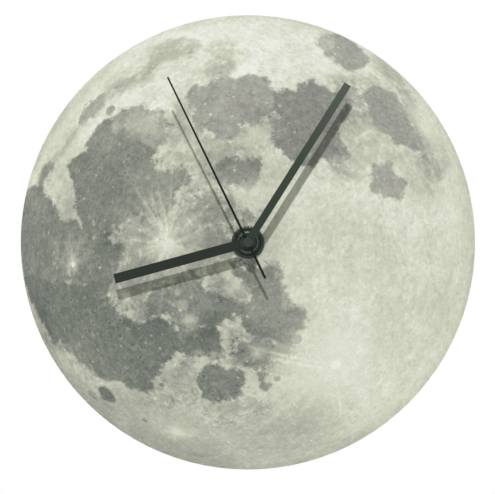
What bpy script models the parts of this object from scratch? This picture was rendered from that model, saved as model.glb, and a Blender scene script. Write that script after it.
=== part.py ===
"""Moon wall clock: a round dial on a quartz movement, built piece by piece.

Lengths are metres. Inside the model x runs to the right, y up and z forward from the
wall, with the origin where the hands' axis meets the wall. One turned empty then stands
the clock up, so that its dial looks along -Y.
"""
import math

import bmesh
import bpy
from mathutils import Matrix, Vector
from mathutils.geometry import tessellate_polygon

# Dial
DIAL_DIAMETER = 0.300
DIAL_THICKNESS = 0.003
PRINT_THICKNESS = 0.00025
PRINT_INSET = 0.0002

# Hands, with the time that the clock shows, in degrees clockwise from twelve, and the slope of
# the second hand in degrees
HOUR_HAND_LENGTH = 0.0902
HOUR_HAND_WIDTH = 0.0064
HOUR_HAND_ANGLE = 254.7
MINUTE_HAND_LENGTH = 0.1217
MINUTE_HAND_WIDTH = 0.0049
MINUTE_HAND_ANGLE = 32.3
HAND_THICKNESS = 0.0005
HAND_HUB_DIAMETER = 0.0102
SECOND_HAND_LENGTH = 0.1186
SECOND_HAND_TAIL = 0.026
SECOND_HAND_ROOT_WIDTH = 0.0016
SECOND_HAND_TIP_WIDTH = 0.0011
SECOND_HAND_ANGLE = 334.1
SECOND_HAND_THICKNESS = 0.0003
SECOND_HAND_RISE_ANGLE = 2.15
SECOND_CAP_DIAMETER = 0.0066
SECOND_CAP_HEIGHT = 0.001
COLLET_WALL = 0.0011
HOUR_COLLET_HEIGHT = 0.0023
MINUTE_COLLET_HEIGHT = 0.0005

# Nut and washer that hold the dial
NUT_DIAMETER = 0.022
NUT_FLANGE_HEIGHT = 0.0016
NUT_WAVES = 36
NUT_WAVE_DEPTH = 0.00025
NUT_BOSS_DIAMETER = 0.0137
NUT_BOSS_HEIGHT = 0.0026
NUT_BOSS_ROUNDING = 0.0012
WASHER_THICKNESS = 0.001

# Tubes on the hands' axis
SECONDS_SHAFT_RADIUS = 0.0005
MINUTE_TUBE_WALL = 0.00105
HOUR_TUBE_WALL = 0.0006
BUSHING_WALL = 0.0011
BUSHING_FLANGE_WIDTH = 0.0016
BUSHING_FLANGE_HEIGHT = 0.001
BUSHING_REACH = 0.00125
BUSHING_TO_HOUR_HAND = 0.0036
HOUR_TUBE_REACH = 0.0003
MINUTE_TUBE_REACH = 0.0003
SECOND_HAND_RISE = 0.0018
TUBE_FLAT_SHARE = 0.82

# Gear train: tooth counts, tooth size and layers
TRAIN_MODULE = 0.0003
INTERMEDIATE_TEETH = 48
SECONDS_TEETH = 40
THIRD_TEETH = 60
CENTRE_TEETH = 64
MINUTE_WHEEL_TEETH = 30
HOUR_TEETH = 32
ROTOR_LEAVES = 8
INTERMEDIATE_LEAVES = 8
SECONDS_LEAVES = 8
THIRD_LEAVES = 8
CANNON_LEAVES = 10
MINUTE_WHEEL_LEAVES = 8
SETTING_LEAVES = 12
WHEEL_THICKNESS = 0.0008
WEB_SHARE = 0.86
WEB_HOLE_SHARE = 0.3
WEB_HOLES = 4
LAYER_PITCH = 0.0015
ARBOR_RADIUS = 0.0004
THIRD_DIRECTION = 165.0
INTERMEDIATE_DIRECTION = 80.0
ROTOR_DIRECTION = 45.0
MINUTE_WHEEL_DIRECTION = 15.0
SETTING_DIRECTION = 25.0

# Tooth form, in modules and in shares of the tooth pitch
WHEEL_ADDENDUM = 1.0
WHEEL_DEDENDUM = 1.25
WHEEL_TIP_SHARE = 0.18
WHEEL_ROOT_SHARE = 0.62
LEAF_ADDENDUM = 0.9
LEAF_DEDENDUM = 1.35
LEAF_TIP_SHARE = 0.14
LEAF_PITCH_SHARE = 0.40
LEAF_ROOT_SHARE = 0.44

# Fits: faces that rest on each other, pressed fits and running fits
SEAT_GAP = 0.0001
PRESS_GAP = 0.00005
RUNNING_GAP = 0.00015
TUBE_GAP = 0.00025
WHEEL_GAP = 0.0004
ROOM_GAP = 0.0005

# Movement case
BATTERY_DIAMETER = 0.0145
BATTERY_LENGTH = 0.0505
NUB_DIAMETER = 0.0055
NUB_LENGTH = 0.001
CONTACT_ROOM = 0.0029
CASE_WALL = 0.0013
CASE_CORNER = 0.005
PARTITION_THICKNESS = 0.001
COVER_THICKNESS = 0.0015
PLATE_THICKNESS = 0.001
BEARING_HEIGHT = 0.0012
BEARING_RADIUS = 0.0017
END_PLAY = 0.0002
PILLAR_RADIUS = 0.0018
PILLAR_INSET = 0.0052
PILLAR_ABOVE_EDGE = 0.0042
STAKE_RADIUS = 0.0007
STAKE_REACH = 0.0004
CLIP_WIDTH = 0.0036
CLIP_THICKNESS = 0.001
CLIP_LENGTH = 0.0043
CLIP_BARB = 0.0009
CLIP_LOWER_INSET = 0.0054
CLIP_UPPER_INSET = 0.0097
HANGER_WIDTH = 0.020
HANGER_RISE = 0.013
HANGER_THICKNESS = 0.0026
EYE_WIDTH = 0.009
EYE_HEIGHT = 0.006
EYE_NOTCH_RADIUS = 0.0016
FINGER_NOTCH_WIDTH = 0.018
FINGER_NOTCH_DEPTH = 0.006

# Time setting
KNOB_DIAMETER = 0.013
KNOB_HEIGHT = 0.0027
KNOB_RIBS = 20
KNOB_RIB_DEPTH = 0.0004
KNOB_DISH_DIAMETER = 0.0092
KNOB_DISH_DEPTH = 0.0006
KNOB_WEB = 0.0006
KNOB_MARGIN = 0.0005
KNOB_SPIGOT_RADIUS = 0.0011
WELL_FLOOR = 0.001
SETTING_ARBOR_RADIUS = 0.0015

# Motor, circuit and contacts
MAGNET_RADIUS = 0.0022
MAGNET_HEIGHT = 0.0024
STATOR_THICKNESS = 0.0008
STATOR_SPAN = 0.019
STATOR_ARM_WIDTH = 0.003
STATOR_BAR_HALF_HEIGHT = 0.0036
COIL_OFFSET = 0.0069
BOBBIN_FLANGE_RADIUS = 0.003
BOBBIN_FLANGE_THICKNESS = 0.0005
BOBBIN_TUBE_RADIUS = 0.0021
WINDING_RADIUS = 0.0028
BOARD_WIDTH = 0.016
BOARD_THICKNESS = 0.001
CHIP_RADIUS = 0.0023
CHIP_HEIGHT = 0.001
CRYSTAL_DIAMETER = 0.002
CRYSTAL_LENGTH = 0.006
CONTACT_THICKNESS = 0.0004
CONTACT_HEIGHT = 0.0057
CONTACT_RUN_INSET = 0.0024
CLUTCH_THICKNESS = 0.0002
CLUTCH_REACH = 0.0055
CLUTCH_ARMS = 4
CLUTCH_ARM_SPREAD = 12.0

# Facets round a circle
DIAL_FACETS = 96
TUBE_FACETS = 18
ARBOR_FACETS = 10
BEARING_FACETS = 14
PILLAR_FACETS = 8
WELL_FACETS = 24
BOSS_FACETS = 24
RIB_STEPS = 3
SMOOTH_ANGLE = 35.0

# Radii on the hands' axis, each tube clear of the one inside it
minute_bore = SECONDS_SHAFT_RADIUS + RUNNING_GAP
minute_tube_radius = minute_bore + MINUTE_TUBE_WALL
minute_seat_radius = minute_tube_radius - SEAT_GAP
hour_bore = minute_tube_radius + TUBE_GAP
hour_tube_radius = hour_bore + HOUR_TUBE_WALL
bushing_bore = hour_tube_radius + TUBE_GAP
bushing_radius = bushing_bore + BUSHING_WALL
thread_bore = bushing_radius + RUNNING_GAP
bushing_flange_radius = bushing_radius + BUSHING_FLANGE_WIDTH

# Tooth sizes that follow from the axes: the seconds wheel clears the third arbor, the centre
# wheel shares the third wheel's distance, and the cannon pinion goes round the minute tube
third_distance = TRAIN_MODULE * (THIRD_TEETH + SECONDS_LEAVES) / 2
rotor_distance = TRAIN_MODULE * (INTERMEDIATE_TEETH + ROTOR_LEAVES) / 2
centre_module = 2 * third_distance / (CENTRE_TEETH + THIRD_LEAVES)
seconds_module = (third_distance - ARBOR_RADIUS - WHEEL_GAP) / (SECONDS_TEETH / 2 + WHEEL_ADDENDUM)
intermediate_distance = seconds_module * (SECONDS_TEETH + INTERMEDIATE_LEAVES) / 2
cannon_module = (minute_tube_radius + RUNNING_GAP) / (CANNON_LEAVES / 2 - LEAF_DEDENDUM)
minute_wheel_distance = cannon_module * (MINUTE_WHEEL_TEETH + CANNON_LEAVES) / 2
hour_module = 2 * minute_wheel_distance / (HOUR_TEETH + MINUTE_WHEEL_LEAVES)
setting_distance = cannon_module * (MINUTE_WHEEL_TEETH + SETTING_LEAVES) / 2


def polar(distance, degrees, start=(0.0, 0.0)):
    """The point at a distance and direction from another, seen from the front."""
    angle = math.radians(degrees)
    return (start[0] + distance * math.cos(angle), start[1] + distance * math.sin(angle))


# Axes of the wheels
centre_axis = (0.0, 0.0)
third_axis = polar(third_distance, THIRD_DIRECTION)
intermediate_axis = polar(intermediate_distance, INTERMEDIATE_DIRECTION)
rotor_axis = polar(rotor_distance, ROTOR_DIRECTION, intermediate_axis)
minute_wheel_axis = polar(minute_wheel_distance, MINUTE_WHEEL_DIRECTION)
setting_axis = polar(setting_distance, SETTING_DIRECTION, minute_wheel_axis)

# Layers of the movement from the wall forward
arbor_start = CASE_WALL + END_PLAY + SEAT_GAP * 3
bearing_top = CASE_WALL + BEARING_HEIGHT
layer_a = bearing_top + ROOM_GAP
layer_b = layer_a + LAYER_PITCH
layer_c = layer_b + LAYER_PITCH
layer_d = layer_c + LAYER_PITCH
centre_wheel_top = layer_d + WHEEL_THICKNESS
clutch_start = centre_wheel_top + SEAT_GAP
tube_shoulder = clutch_start + CLUTCH_THICKNESS + SEAT_GAP
plate_start = tube_shoulder + ROOM_GAP + WHEEL_GAP - CLUTCH_THICKNESS
plate_top = plate_start + PLATE_THICKNESS
arbor_top = plate_start + PLATE_THICKNESS / 2
layer_e = plate_top + ROOM_GAP + SEAT_GAP
layer_f = layer_e + LAYER_PITCH
train_top = layer_f + WHEEL_THICKNESS
case_depth = max(train_top + BUSHING_FLANGE_HEIGHT + 1.2 * ROOM_GAP, BATTERY_DIAMETER + 2 * RUNNING_GAP)
cover_start = case_depth + SEAT_GAP
cover_top = cover_start + COVER_THICKNESS
washer_start = cover_top + SEAT_GAP
dial_start = washer_start + WASHER_THICKNESS + SEAT_GAP
print_start = dial_start + DIAL_THICKNESS + SEAT_GAP
print_top = print_start + PRINT_THICKNESS
nut_start = print_top + SEAT_GAP
nut_top = nut_start + NUT_FLANGE_HEIGHT + NUT_BOSS_HEIGHT
bushing_top = nut_top + BUSHING_REACH
hour_hand_start = bushing_top + BUSHING_TO_HOUR_HAND
hour_tube_top = hour_hand_start + HAND_THICKNESS + HOUR_TUBE_REACH
minute_collet_start = hour_tube_top + 2 * SEAT_GAP
minute_hand_start = minute_collet_start + MINUTE_COLLET_HEIGHT + SEAT_GAP
minute_tube_top = minute_hand_start + HAND_THICKNESS + MINUTE_TUBE_REACH
second_hand_start = minute_hand_start + HAND_THICKNESS + SECOND_HAND_RISE
second_cap_start = second_hand_start + SECOND_HAND_THICKNESS + SEAT_GAP

# Case in front view: as wide as the battery with its contacts, as high as what it holds
half_inside = (BATTERY_LENGTH + CONTACT_ROOM) / 2
half_width = half_inside + CASE_WALL
centre_wheel_radius = centre_module * (CENTRE_TEETH / 2 + WHEEL_ADDENDUM)
third_wheel_radius = TRAIN_MODULE * (THIRD_TEETH / 2 + WHEEL_ADDENDUM)
strip_room = CONTACT_THICKNESS + 1.3 * ROOM_GAP
chamber_bottom = -(centre_wheel_radius + strip_room)
bay_top = chamber_bottom - PARTITION_THICKNESS
bay_bottom = bay_top - BATTERY_DIAMETER - 2 * WHEEL_GAP
battery_height = (bay_top + bay_bottom) / 2
battery_depth = case_depth / 2
case_bottom = bay_bottom - CASE_WALL
coil_height = rotor_axis[1] + COIL_OFFSET
chamber_top = coil_height + BOBBIN_FLANGE_RADIUS + TUBE_GAP
case_top = chamber_top + CASE_WALL
plate_edge = coil_height - BOBBIN_FLANGE_RADIUS - ROOM_GAP

# Knob well in the rear wall
knob_radius = KNOB_DIAMETER / 2
well_radius = knob_radius + KNOB_MARGIN
well_depth = KNOB_HEIGHT + KNOB_MARGIN
cup_radius = well_radius + WELL_FLOOR
cup_top = well_depth + WELL_FLOOR
knob_start = KNOB_MARGIN - 2 * SEAT_GAP
knob_top = knob_start + KNOB_HEIGHT
socket_start = knob_start + KNOB_DISH_DEPTH + KNOB_WEB

# Motor
stator_start = layer_b + WHEEL_THICKNESS + WHEEL_GAP
stator_top = stator_start + STATOR_THICKNESS
core_start = stator_top + SEAT_GAP
core_top = core_start + STATOR_THICKNESS
coil_depth = (core_start + core_top) / 2
magnet_start = (stator_start + stator_top - MAGNET_HEIGHT) / 2
arm_left = rotor_axis[0] - STATOR_SPAN / 2
arm_right = rotor_axis[0] + STATOR_SPAN / 2
bobbin_half = (STATOR_SPAN - STATOR_ARM_WIDTH) / 2 - WHEEL_GAP

# Circuit board and contact strips
board_start = CASE_WALL + BEARING_HEIGHT - SEAT_GAP
board_top = board_start + BOARD_THICKNESS
board_left = -half_inside + 2 * ROOM_GAP
board_right = board_left + BOARD_WIDTH
board_bottom = third_axis[1] + third_wheel_radius + ROOM_GAP
board_upper = chamber_top - ROOM_GAP
strip_start = board_top + SEAT_GAP
strip_top = strip_start + CONTACT_HEIGHT
strip_offset = half_inside - ROOM_GAP
positive_run = CONTACT_RUN_INSET - half_inside

# Pillars of the rear housing, which carry the middle plate
pillar_rise = PILLAR_RADIUS + 2.2 * ROOM_GAP
board_pillar = (-half_inside + PILLAR_INSET, board_bottom + PILLAR_ABOVE_EDGE)
pillars = [
    (-half_inside + PILLAR_INSET, chamber_bottom + pillar_rise),
    (half_inside - PILLAR_INSET, chamber_bottom + pillar_rise),
    (half_inside - PILLAR_RADIUS - 2 * ROOM_GAP, plate_edge - PILLAR_RADIUS),
    board_pillar,
]
stator_posts = [(arm_left, coil_height), (arm_right, coil_height)]
clip_heights = (chamber_bottom + CLIP_LOWER_INSET, chamber_top - CLIP_UPPER_INSET)


def circle(radius, facets=TUBE_FACETS, centre=(0.0, 0.0)):
    """Points round a circle."""
    step = 2 * math.pi / facets
    return [(centre[0] + radius * math.cos(step * i), centre[1] + radius * math.sin(step * i))
            for i in range(facets)]


def rectangle(left, bottom, right, top):
    """Corners of an upright rectangle."""
    return [(left, bottom), (right, bottom), (right, top), (left, top)]


def rounded_rectangle(left, bottom, right, top, radius, steps=4, upper_radius=None):
    """A rectangle whose corners are quarter circles, of another radius at the top if given."""
    upper = upper_radius or radius
    corners = [(right - radius, bottom + radius, -90, radius), (right - upper, top - upper, 0, upper),
               (left + upper, top - upper, 90, upper), (left + radius, bottom + radius, 180, radius)]
    points = []
    for x, y, start, corner in corners:
        for i in range(steps + 1):
            points.append(polar(corner, start + 90 * i / steps, (x, y)))
    return points


def flatted_circle(radius, half_flat, turn=0.0, steps=6):
    """A circle with two parallel flats, left and right before it is turned clockwise."""
    limit = math.degrees(math.acos(half_flat / radius))
    points = []
    for start in (limit, 180 + limit):
        for i in range(steps + 1):
            points.append(polar(radius, start + (180 - 2 * limit) * i / steps - turn))
    return points


def gear_outline(teeth, module, phase=0.0):
    """Outline of a wheel, with the middle of one tooth at the phase angle."""
    pitch = 2 * math.pi / teeth
    tip = module * (teeth / 2 + WHEEL_ADDENDUM)
    root = module * (teeth / 2 - WHEEL_DEDENDUM)
    half = [(root, WHEEL_ROOT_SHARE / 2), (tip, WHEEL_TIP_SHARE / 2)]
    return toothed(half, teeth, pitch, phase)


def pinion_outline(leaves, module, phase=0.0):
    """Outline of a pinion, whose leaves are slimmer than a wheel's teeth at the root."""
    pitch = 2 * math.pi / leaves
    tip = module * (leaves / 2 + LEAF_ADDENDUM)
    root = module * (leaves / 2 - LEAF_DEDENDUM)
    middle = module * leaves / 2
    half = [(root, LEAF_ROOT_SHARE / 2), (middle, LEAF_PITCH_SHARE / 2), (tip, LEAF_TIP_SHARE / 2)]
    return toothed(half, leaves, pitch, phase)


def toothed(half, count, pitch, phase):
    """Repeat a tooth, given from its root to its tip as radii and shares of the pitch."""
    tooth = [(r, -share) for r, share in half] + [(r, share) for r, share in reversed(half)]
    points = []
    for k in range(count):
        for r, share in tooth:
            angle = phase + (k + share) * pitch
            points.append((r * math.cos(angle), r * math.sin(angle)))
    return points


def facing(start, end):
    """The direction from one axis to another, in radians."""
    return math.atan2(end[1] - start[1], end[0] - start[0])


def meshed(direction, phase, teeth, other_teeth):
    """Phase of a gear that meshes with one whose phase is known, in a direction from it."""
    return direction + math.pi + math.pi / other_teeth + (direction - phase) * teeth / other_teeth


def ribbed(radius, depth, ribs, steps):
    """A circle with even waves, such as a grip."""
    points = []
    for i in range(ribs * steps):
        turn = 2 * math.pi * i / (ribs * steps)
        r = radius - depth * (1 - math.cos(ribs * turn)) / 2
        points.append((r * math.cos(turn), r * math.sin(turn)))
    return points


def scaled(outline, share):
    """The same outline drawn in towards its axis."""
    return [(x * share, y * share) for x, y in outline]


def area(outline):
    """Area inside an outline."""
    total = 0.0
    for (x0, y0), (x1, y1) in zip(outline, outline[1:] + outline[:1]):
        total += x0 * y1 - x1 * y0
    return abs(total) / 2


def ring_verts(mesh, outline, z):
    """A loop of vertices along an outline."""
    return [mesh.verts.new((x, y, z)) for x, y in outline]


def bridge(mesh, lower, upper):
    """Side faces between two loops with as many vertices."""
    count = len(lower)
    for i in range(count):
        j = (i + 1) % count
        mesh.faces.new((lower[i], lower[j], upper[j], upper[i]))


def fill(mesh, loop, inner_loops=()):
    """A flat face inside a loop and outside the loops in it."""
    if not inner_loops:
        mesh.faces.new(loop)
        return
    loops = [loop] + list(inner_loops)
    # The filling works in millimetres, because it takes points under 0.03 apart as one
    flat = [[Vector((v.co.x, v.co.y, 0.0)) * 1000 for v in each] for each in loops]
    verts = [v for each in loops for v in each]
    for triangle in tessellate_polygon(flat):
        mesh.faces.new([verts[i] for i in triangle])


def add_stack(mesh, slabs, bore=None):
    """Add a closed solid made of slabs along z, each (outline, start, end, holes).

    Of two neighbouring outlines one lies inside the other. The bore runs through all
    slabs, and a slab's holes run through that slab alone.
    """
    levels = []
    for outline, start, end, *holes in slabs:
        holes = holes[0] if holes else []
        lower = ring_verts(mesh, outline, start)
        upper = ring_verts(mesh, outline, end)
        bridge(mesh, lower, upper)
        hole_rings = [(ring_verts(mesh, hole, start), ring_verts(mesh, hole, end)) for hole in holes]
        for hole_lower, hole_upper in hole_rings:
            bridge(mesh, hole_lower, hole_upper)
        levels.append((area(outline), lower, upper, hole_rings))
    ends = [[], []]
    if bore:
        ends = [[ring_verts(mesh, bore, slabs[0][1])], [ring_verts(mesh, bore, slabs[-1][2])]]
        bridge(mesh, ends[0][0], ends[1][0])
    fill(mesh, levels[0][1], ends[0] + [low for low, high in levels[0][3]])
    fill(mesh, levels[-1][2], ends[1] + [high for low, high in levels[-1][3]])
    for below, above in zip(levels, levels[1:]):
        below_rings = [high for low, high in below[3]]
        above_rings = [low for low, high in above[3]]
        if below[0] > above[0]:
            fill(mesh, below[2], [above[1]] + below_rings + above_rings)
        else:
            fill(mesh, above[1], [below[2]] + below_rings + above_rings)


def add_plate(mesh, outline, start, end, holes=()):
    """Add a flat plate with holes."""
    add_stack(mesh, [(outline, start, end, list(holes))])


def add_turned(mesh, profile, facets=TUBE_FACETS, matrix=None, centre=(0.0, 0.0)):
    """Add a profile of (radius, z) turned about z; it ends on the axis or closes on itself."""
    rings = []
    for radius, z in profile:
        if radius == 0:
            rings.append([mesh.verts.new((centre[0], centre[1], z))])
        else:
            rings.append(ring_verts(mesh, circle(radius, facets, centre), z))
    pairs = list(zip(rings, rings[1:]))
    if profile[0][0] > 0:
        pairs.append((rings[-1], rings[0]))
    for lower, upper in pairs:
        if len(lower) == 1 or len(upper) == 1:
            tip, ring = (lower, upper) if len(lower) == 1 else (upper, lower)
            for i in range(facets):
                mesh.faces.new((tip[0], ring[i], ring[(i + 1) % facets]))
        else:
            bridge(mesh, lower, upper)
    if matrix:
        bmesh.ops.transform(mesh, matrix=matrix, verts=[v for ring in rings for v in ring])


def add_grip(mesh, outline, start, end, chamfer, profile, facets=TUBE_FACETS):
    """Add a disc with a shaped rim; its profile goes from the top face to the bottom face."""
    share = 1 - chamfer / max(math.hypot(x, y) for x, y in outline)
    rim = [ring_verts(mesh, outline, start), ring_verts(mesh, outline, end - chamfer),
           ring_verts(mesh, scaled(outline, share), end)]
    for lower, upper in zip(rim, rim[1:]):
        bridge(mesh, lower, upper)
    rings = [ring_verts(mesh, circle(radius, facets), z) for radius, z in profile if radius > 0]
    for lower, upper in zip(rings, rings[1:]):
        bridge(mesh, lower, upper)
    fill(mesh, rim[2], [rings[0]])
    if profile[-1][0] > 0:
        fill(mesh, rim[0], [rings[-1]])
        return
    mesh.faces.new(rings[-1])
    mesh.faces.new(rim[0])


def offset_strip(path, thickness):
    """Outline of a strip of even thickness that is bent along a path."""
    left, right = [], []
    for i, point in enumerate(path):
        here = Vector(point)
        before = (here - Vector(path[i - 1])).normalized() if i else None
        after = (Vector(path[i + 1]) - here).normalized() if i + 1 < len(path) else None
        before = before or after
        after = after or before
        middle = (before + after).normalized()
        normal = Vector((-middle.y, middle.x))
        reach = thickness / 2 / max(normal.dot(Vector((-before.y, before.x))), 0.5)
        left.append(tuple(here + normal * reach))
        right.append(tuple(here - normal * reach))
    return right + left[::-1]


def finish(name, colour, roughness, metallic):
    """A plain surface finish."""
    material = bpy.data.materials.new(name)
    material.use_nodes = True
    shader = material.node_tree.nodes["Principled BSDF"]
    shader.inputs["Base Color"].default_value = (*colour, 1.0)
    shader.inputs["Roughness"].default_value = roughness
    shader.inputs["Metallic"].default_value = metallic
    material.diffuse_color = (*colour, 1.0)
    return material


def shade(data):
    """Shade round faces smooth and keep the edges between flat ones sharp."""
    data.shade_smooth()
    data.set_sharp_from_angle(angle=math.radians(SMOOTH_ANGLE))


def link_mesh(name, mesh, parent):
    """Make an object of a mesh, with its faces pointing out."""
    bmesh.ops.recalc_face_normals(mesh, faces=mesh.faces)
    data = bpy.data.meshes.new(name)
    mesh.to_mesh(data)
    mesh.free()
    shade(data)
    result = bpy.data.objects.new(name, data)
    result.parent = parent
    bpy.context.collection.objects.link(result)
    return result


def piece(name, mesh, parent, look):
    """Make one named piece with its own finish, given as colour, roughness and metallic."""
    result = link_mesh(name, mesh, parent)
    result.data.materials.append(finish(name, *look))
    return result


def boolean(target, name, mesh, operation):
    """Join a tool to a piece or cut it out of the piece, and apply the result."""
    tool = link_mesh(name, mesh, target)
    modifier = target.modifiers.new(name, 'BOOLEAN')
    modifier.operation = operation
    modifier.solver = 'EXACT'
    modifier.object = tool
    graph = bpy.context.evaluated_depsgraph_get()
    before = target.data
    target.data = bpy.data.meshes.new_from_object(target.evaluated_get(graph))
    target.modifiers.clear()
    bpy.data.objects.remove(tool)
    bpy.data.meshes.remove(before)
    target.data.name = target.name
    shade(target.data)


def empty(name, parent, place=(0.0, 0.0)):
    """An axis that pieces turn about."""
    axis = bpy.data.objects.new(name, None)
    axis.location = (place[0], place[1], 0.0)
    axis.empty_display_size = 0.005
    axis.parent = parent
    bpy.context.collection.objects.link(axis)
    return axis


BLACK_METAL = ((0.035, 0.042, 0.036), 0.45, 0.0)
BLACK_NUT = ((0.02, 0.022, 0.02), 0.25, 0.0)
BLACK_PLASTIC = ((0.025, 0.025, 0.027), 0.5, 0.0)
WHITE_PLASTIC = ((0.80, 0.80, 0.77), 0.4, 0.0)
BRASS = ((0.72, 0.52, 0.22), 0.3, 1.0)
STEEL = ((0.60, 0.60, 0.61), 0.28, 1.0)
RUBBER = ((0.03, 0.03, 0.03), 0.8, 0.0)
COPPER = ((0.75, 0.30, 0.14), 0.35, 1.0)
PALE_BOARD = ((0.80, 0.81, 0.76), 0.5, 0.0)
MOON_FILM = ((0.76, 0.80, 0.66), 0.5, 0.0)
FERRITE = ((0.12, 0.11, 0.10), 0.6, 0.4)
GREEN_LAMINATE = ((0.05, 0.22, 0.09), 0.45, 0.0)
RESIN = ((0.02, 0.02, 0.02), 0.35, 0.0)
BATTERY_SLEEVE = ((0.25, 0.26, 0.27), 0.4, 0.3)


def make_housing(case):
    """Rear housing with its chamber, battery bay, knob well, bearings, pillars and hanger."""
    mesh = bmesh.new()
    outline = rounded_rectangle(-half_width, case_bottom, half_width, case_top, CASE_CORNER)
    add_plate(mesh, outline, 0.0, case_depth)
    housing = piece("rear_housing", mesh, case, BLACK_PLASTIC)

    hollow = bmesh.new()
    inner_corner = CASE_CORNER - CASE_WALL
    above = case_depth + ROOM_GAP
    chamber = rounded_rectangle(-half_inside, chamber_bottom, half_inside, chamber_top, ROOM_GAP,
                                upper_radius=inner_corner)
    add_plate(hollow, chamber, CASE_WALL, above)
    bay = rounded_rectangle(-half_inside, bay_bottom, half_inside, bay_top, inner_corner,
                            upper_radius=ROOM_GAP)
    add_plate(hollow, bay, -ROOM_GAP, above)
    boolean(housing, "housing_hollow", hollow, 'DIFFERENCE')

    added = bmesh.new()
    root = CASE_WALL / 2
    add_plate(added, circle(cup_radius, WELL_FACETS, setting_axis), root, cup_top)
    for axis in (centre_axis, third_axis, intermediate_axis, rotor_axis):
        add_plate(added, circle(BEARING_RADIUS, BEARING_FACETS, axis), root, bearing_top)
    for place in pillars:
        foot = PILLAR_RADIUS + ROOM_GAP
        ledge = board_start - SEAT_GAP
        seat = plate_start - SEAT_GAP
        end = plate_top + STAKE_REACH
        profile = [(0.0, root), (foot, root), (foot, ledge), (PILLAR_RADIUS, ledge), (PILLAR_RADIUS, seat),
                   (STAKE_RADIUS, seat), (STAKE_RADIUS, end), (0.0, end)]
        add_turned(added, profile, PILLAR_FACETS, centre=place)
    for place in stator_posts:
        foot = STATOR_ARM_WIDTH / 2
        seat = stator_start - SEAT_GAP
        end = core_top + STAKE_REACH
        profile = [(0.0, root), (foot, root), (foot, seat), (STAKE_RADIUS, seat), (STAKE_RADIUS, end),
                   (0.0, end)]
        add_turned(added, profile, PILLAR_FACETS, centre=place)
    pad = (board_right - 2 * ROOM_GAP, board_upper - 2 * ROOM_GAP)
    add_plate(added, circle(ROOM_GAP * 2, ARBOR_FACETS, pad), root, board_start - SEAT_GAP)
    add_hanger(added)
    boolean(housing, "housing_bosses", added, 'UNION')

    cuts = bmesh.new()
    well = circle(well_radius, WELL_FACETS, setting_axis)
    arbor_hole = circle(SETTING_ARBOR_RADIUS + RUNNING_GAP, BEARING_FACETS, setting_axis)
    add_stack(cuts, [(well, -ROOM_GAP, well_depth), (arbor_hole, well_depth, cup_top + ROOM_GAP)])
    blind = CASE_WALL + 3 * SEAT_GAP
    for axis, radius in ((centre_axis, SECONDS_SHAFT_RADIUS), (third_axis, ARBOR_RADIUS),
                         (intermediate_axis, ARBOR_RADIUS), (rotor_axis, ARBOR_RADIUS)):
        add_plate(cuts, circle(radius + RUNNING_GAP, ARBOR_FACETS, axis), blind, bearing_top + ROOM_GAP)
    for side in (-1, 1):
        for height in clip_heights:
            near = side * (half_inside - ROOM_GAP)
            far = side * (half_width + ROOM_GAP)
            half = CLIP_WIDTH / 2 + ROOM_GAP
            window = rectangle(min(near, far), height - half, max(near, far), height + half)
            add_plate(cuts, window, cover_start - CLIP_LENGTH + SEAT_GAP, cover_start - CLIP_LENGTH / 2)
        slot_middle = side * strip_offset
        slot_half = CONTACT_THICKNESS / 2 + ROOM_GAP
        slot = rectangle(slot_middle - slot_half, bay_top - ROOM_GAP, slot_middle + slot_half,
                         chamber_bottom + ROOM_GAP)
        add_plate(cuts, slot, strip_start - ROOM_GAP, above)
    notch = rectangle(-FINGER_NOTCH_WIDTH / 2, case_bottom - ROOM_GAP, FINGER_NOTCH_WIDTH / 2,
                      bay_bottom + ROOM_GAP)
    add_plate(cuts, notch, -ROOM_GAP, FINGER_NOTCH_DEPTH)
    add_plate(cuts, eye_outline(), -ROOM_GAP, HANGER_THICKNESS + ROOM_GAP)
    boolean(housing, "housing_openings", cuts, 'DIFFERENCE')


def add_hanger(mesh):
    """Hanger loop on top of the housing: a tab with a round top."""
    radius = HANGER_WIDTH / 2
    shoulder = case_top + HANGER_RISE - radius
    outline = [(-radius, case_top - CASE_WALL / 2), (radius, case_top - CASE_WALL / 2)]
    outline += [polar(radius, 180 * i / 12, (0.0, shoulder)) for i in range(13)]
    add_plate(mesh, outline, SEAT_GAP, HANGER_THICKNESS)


def eye_outline():
    """Eye of the hanger, a slot with a notch for the nail at the middle of its top."""
    middle = case_top + HANGER_RISE / 2
    top = middle + EYE_HEIGHT / 2
    bottom = middle - EYE_HEIGHT / 2
    box = rounded_rectangle(-EYE_WIDTH / 2, bottom, EYE_WIDTH / 2, top, EYE_NOTCH_RADIUS / 2, 2)
    right = [p for p in box if p[0] > 0]
    left = [p for p in box if p[0] < 0]
    notch = [polar(EYE_NOTCH_RADIUS, 180 * i / 6, (0.0, top)) for i in range(7)]
    return right + notch + left


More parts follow.
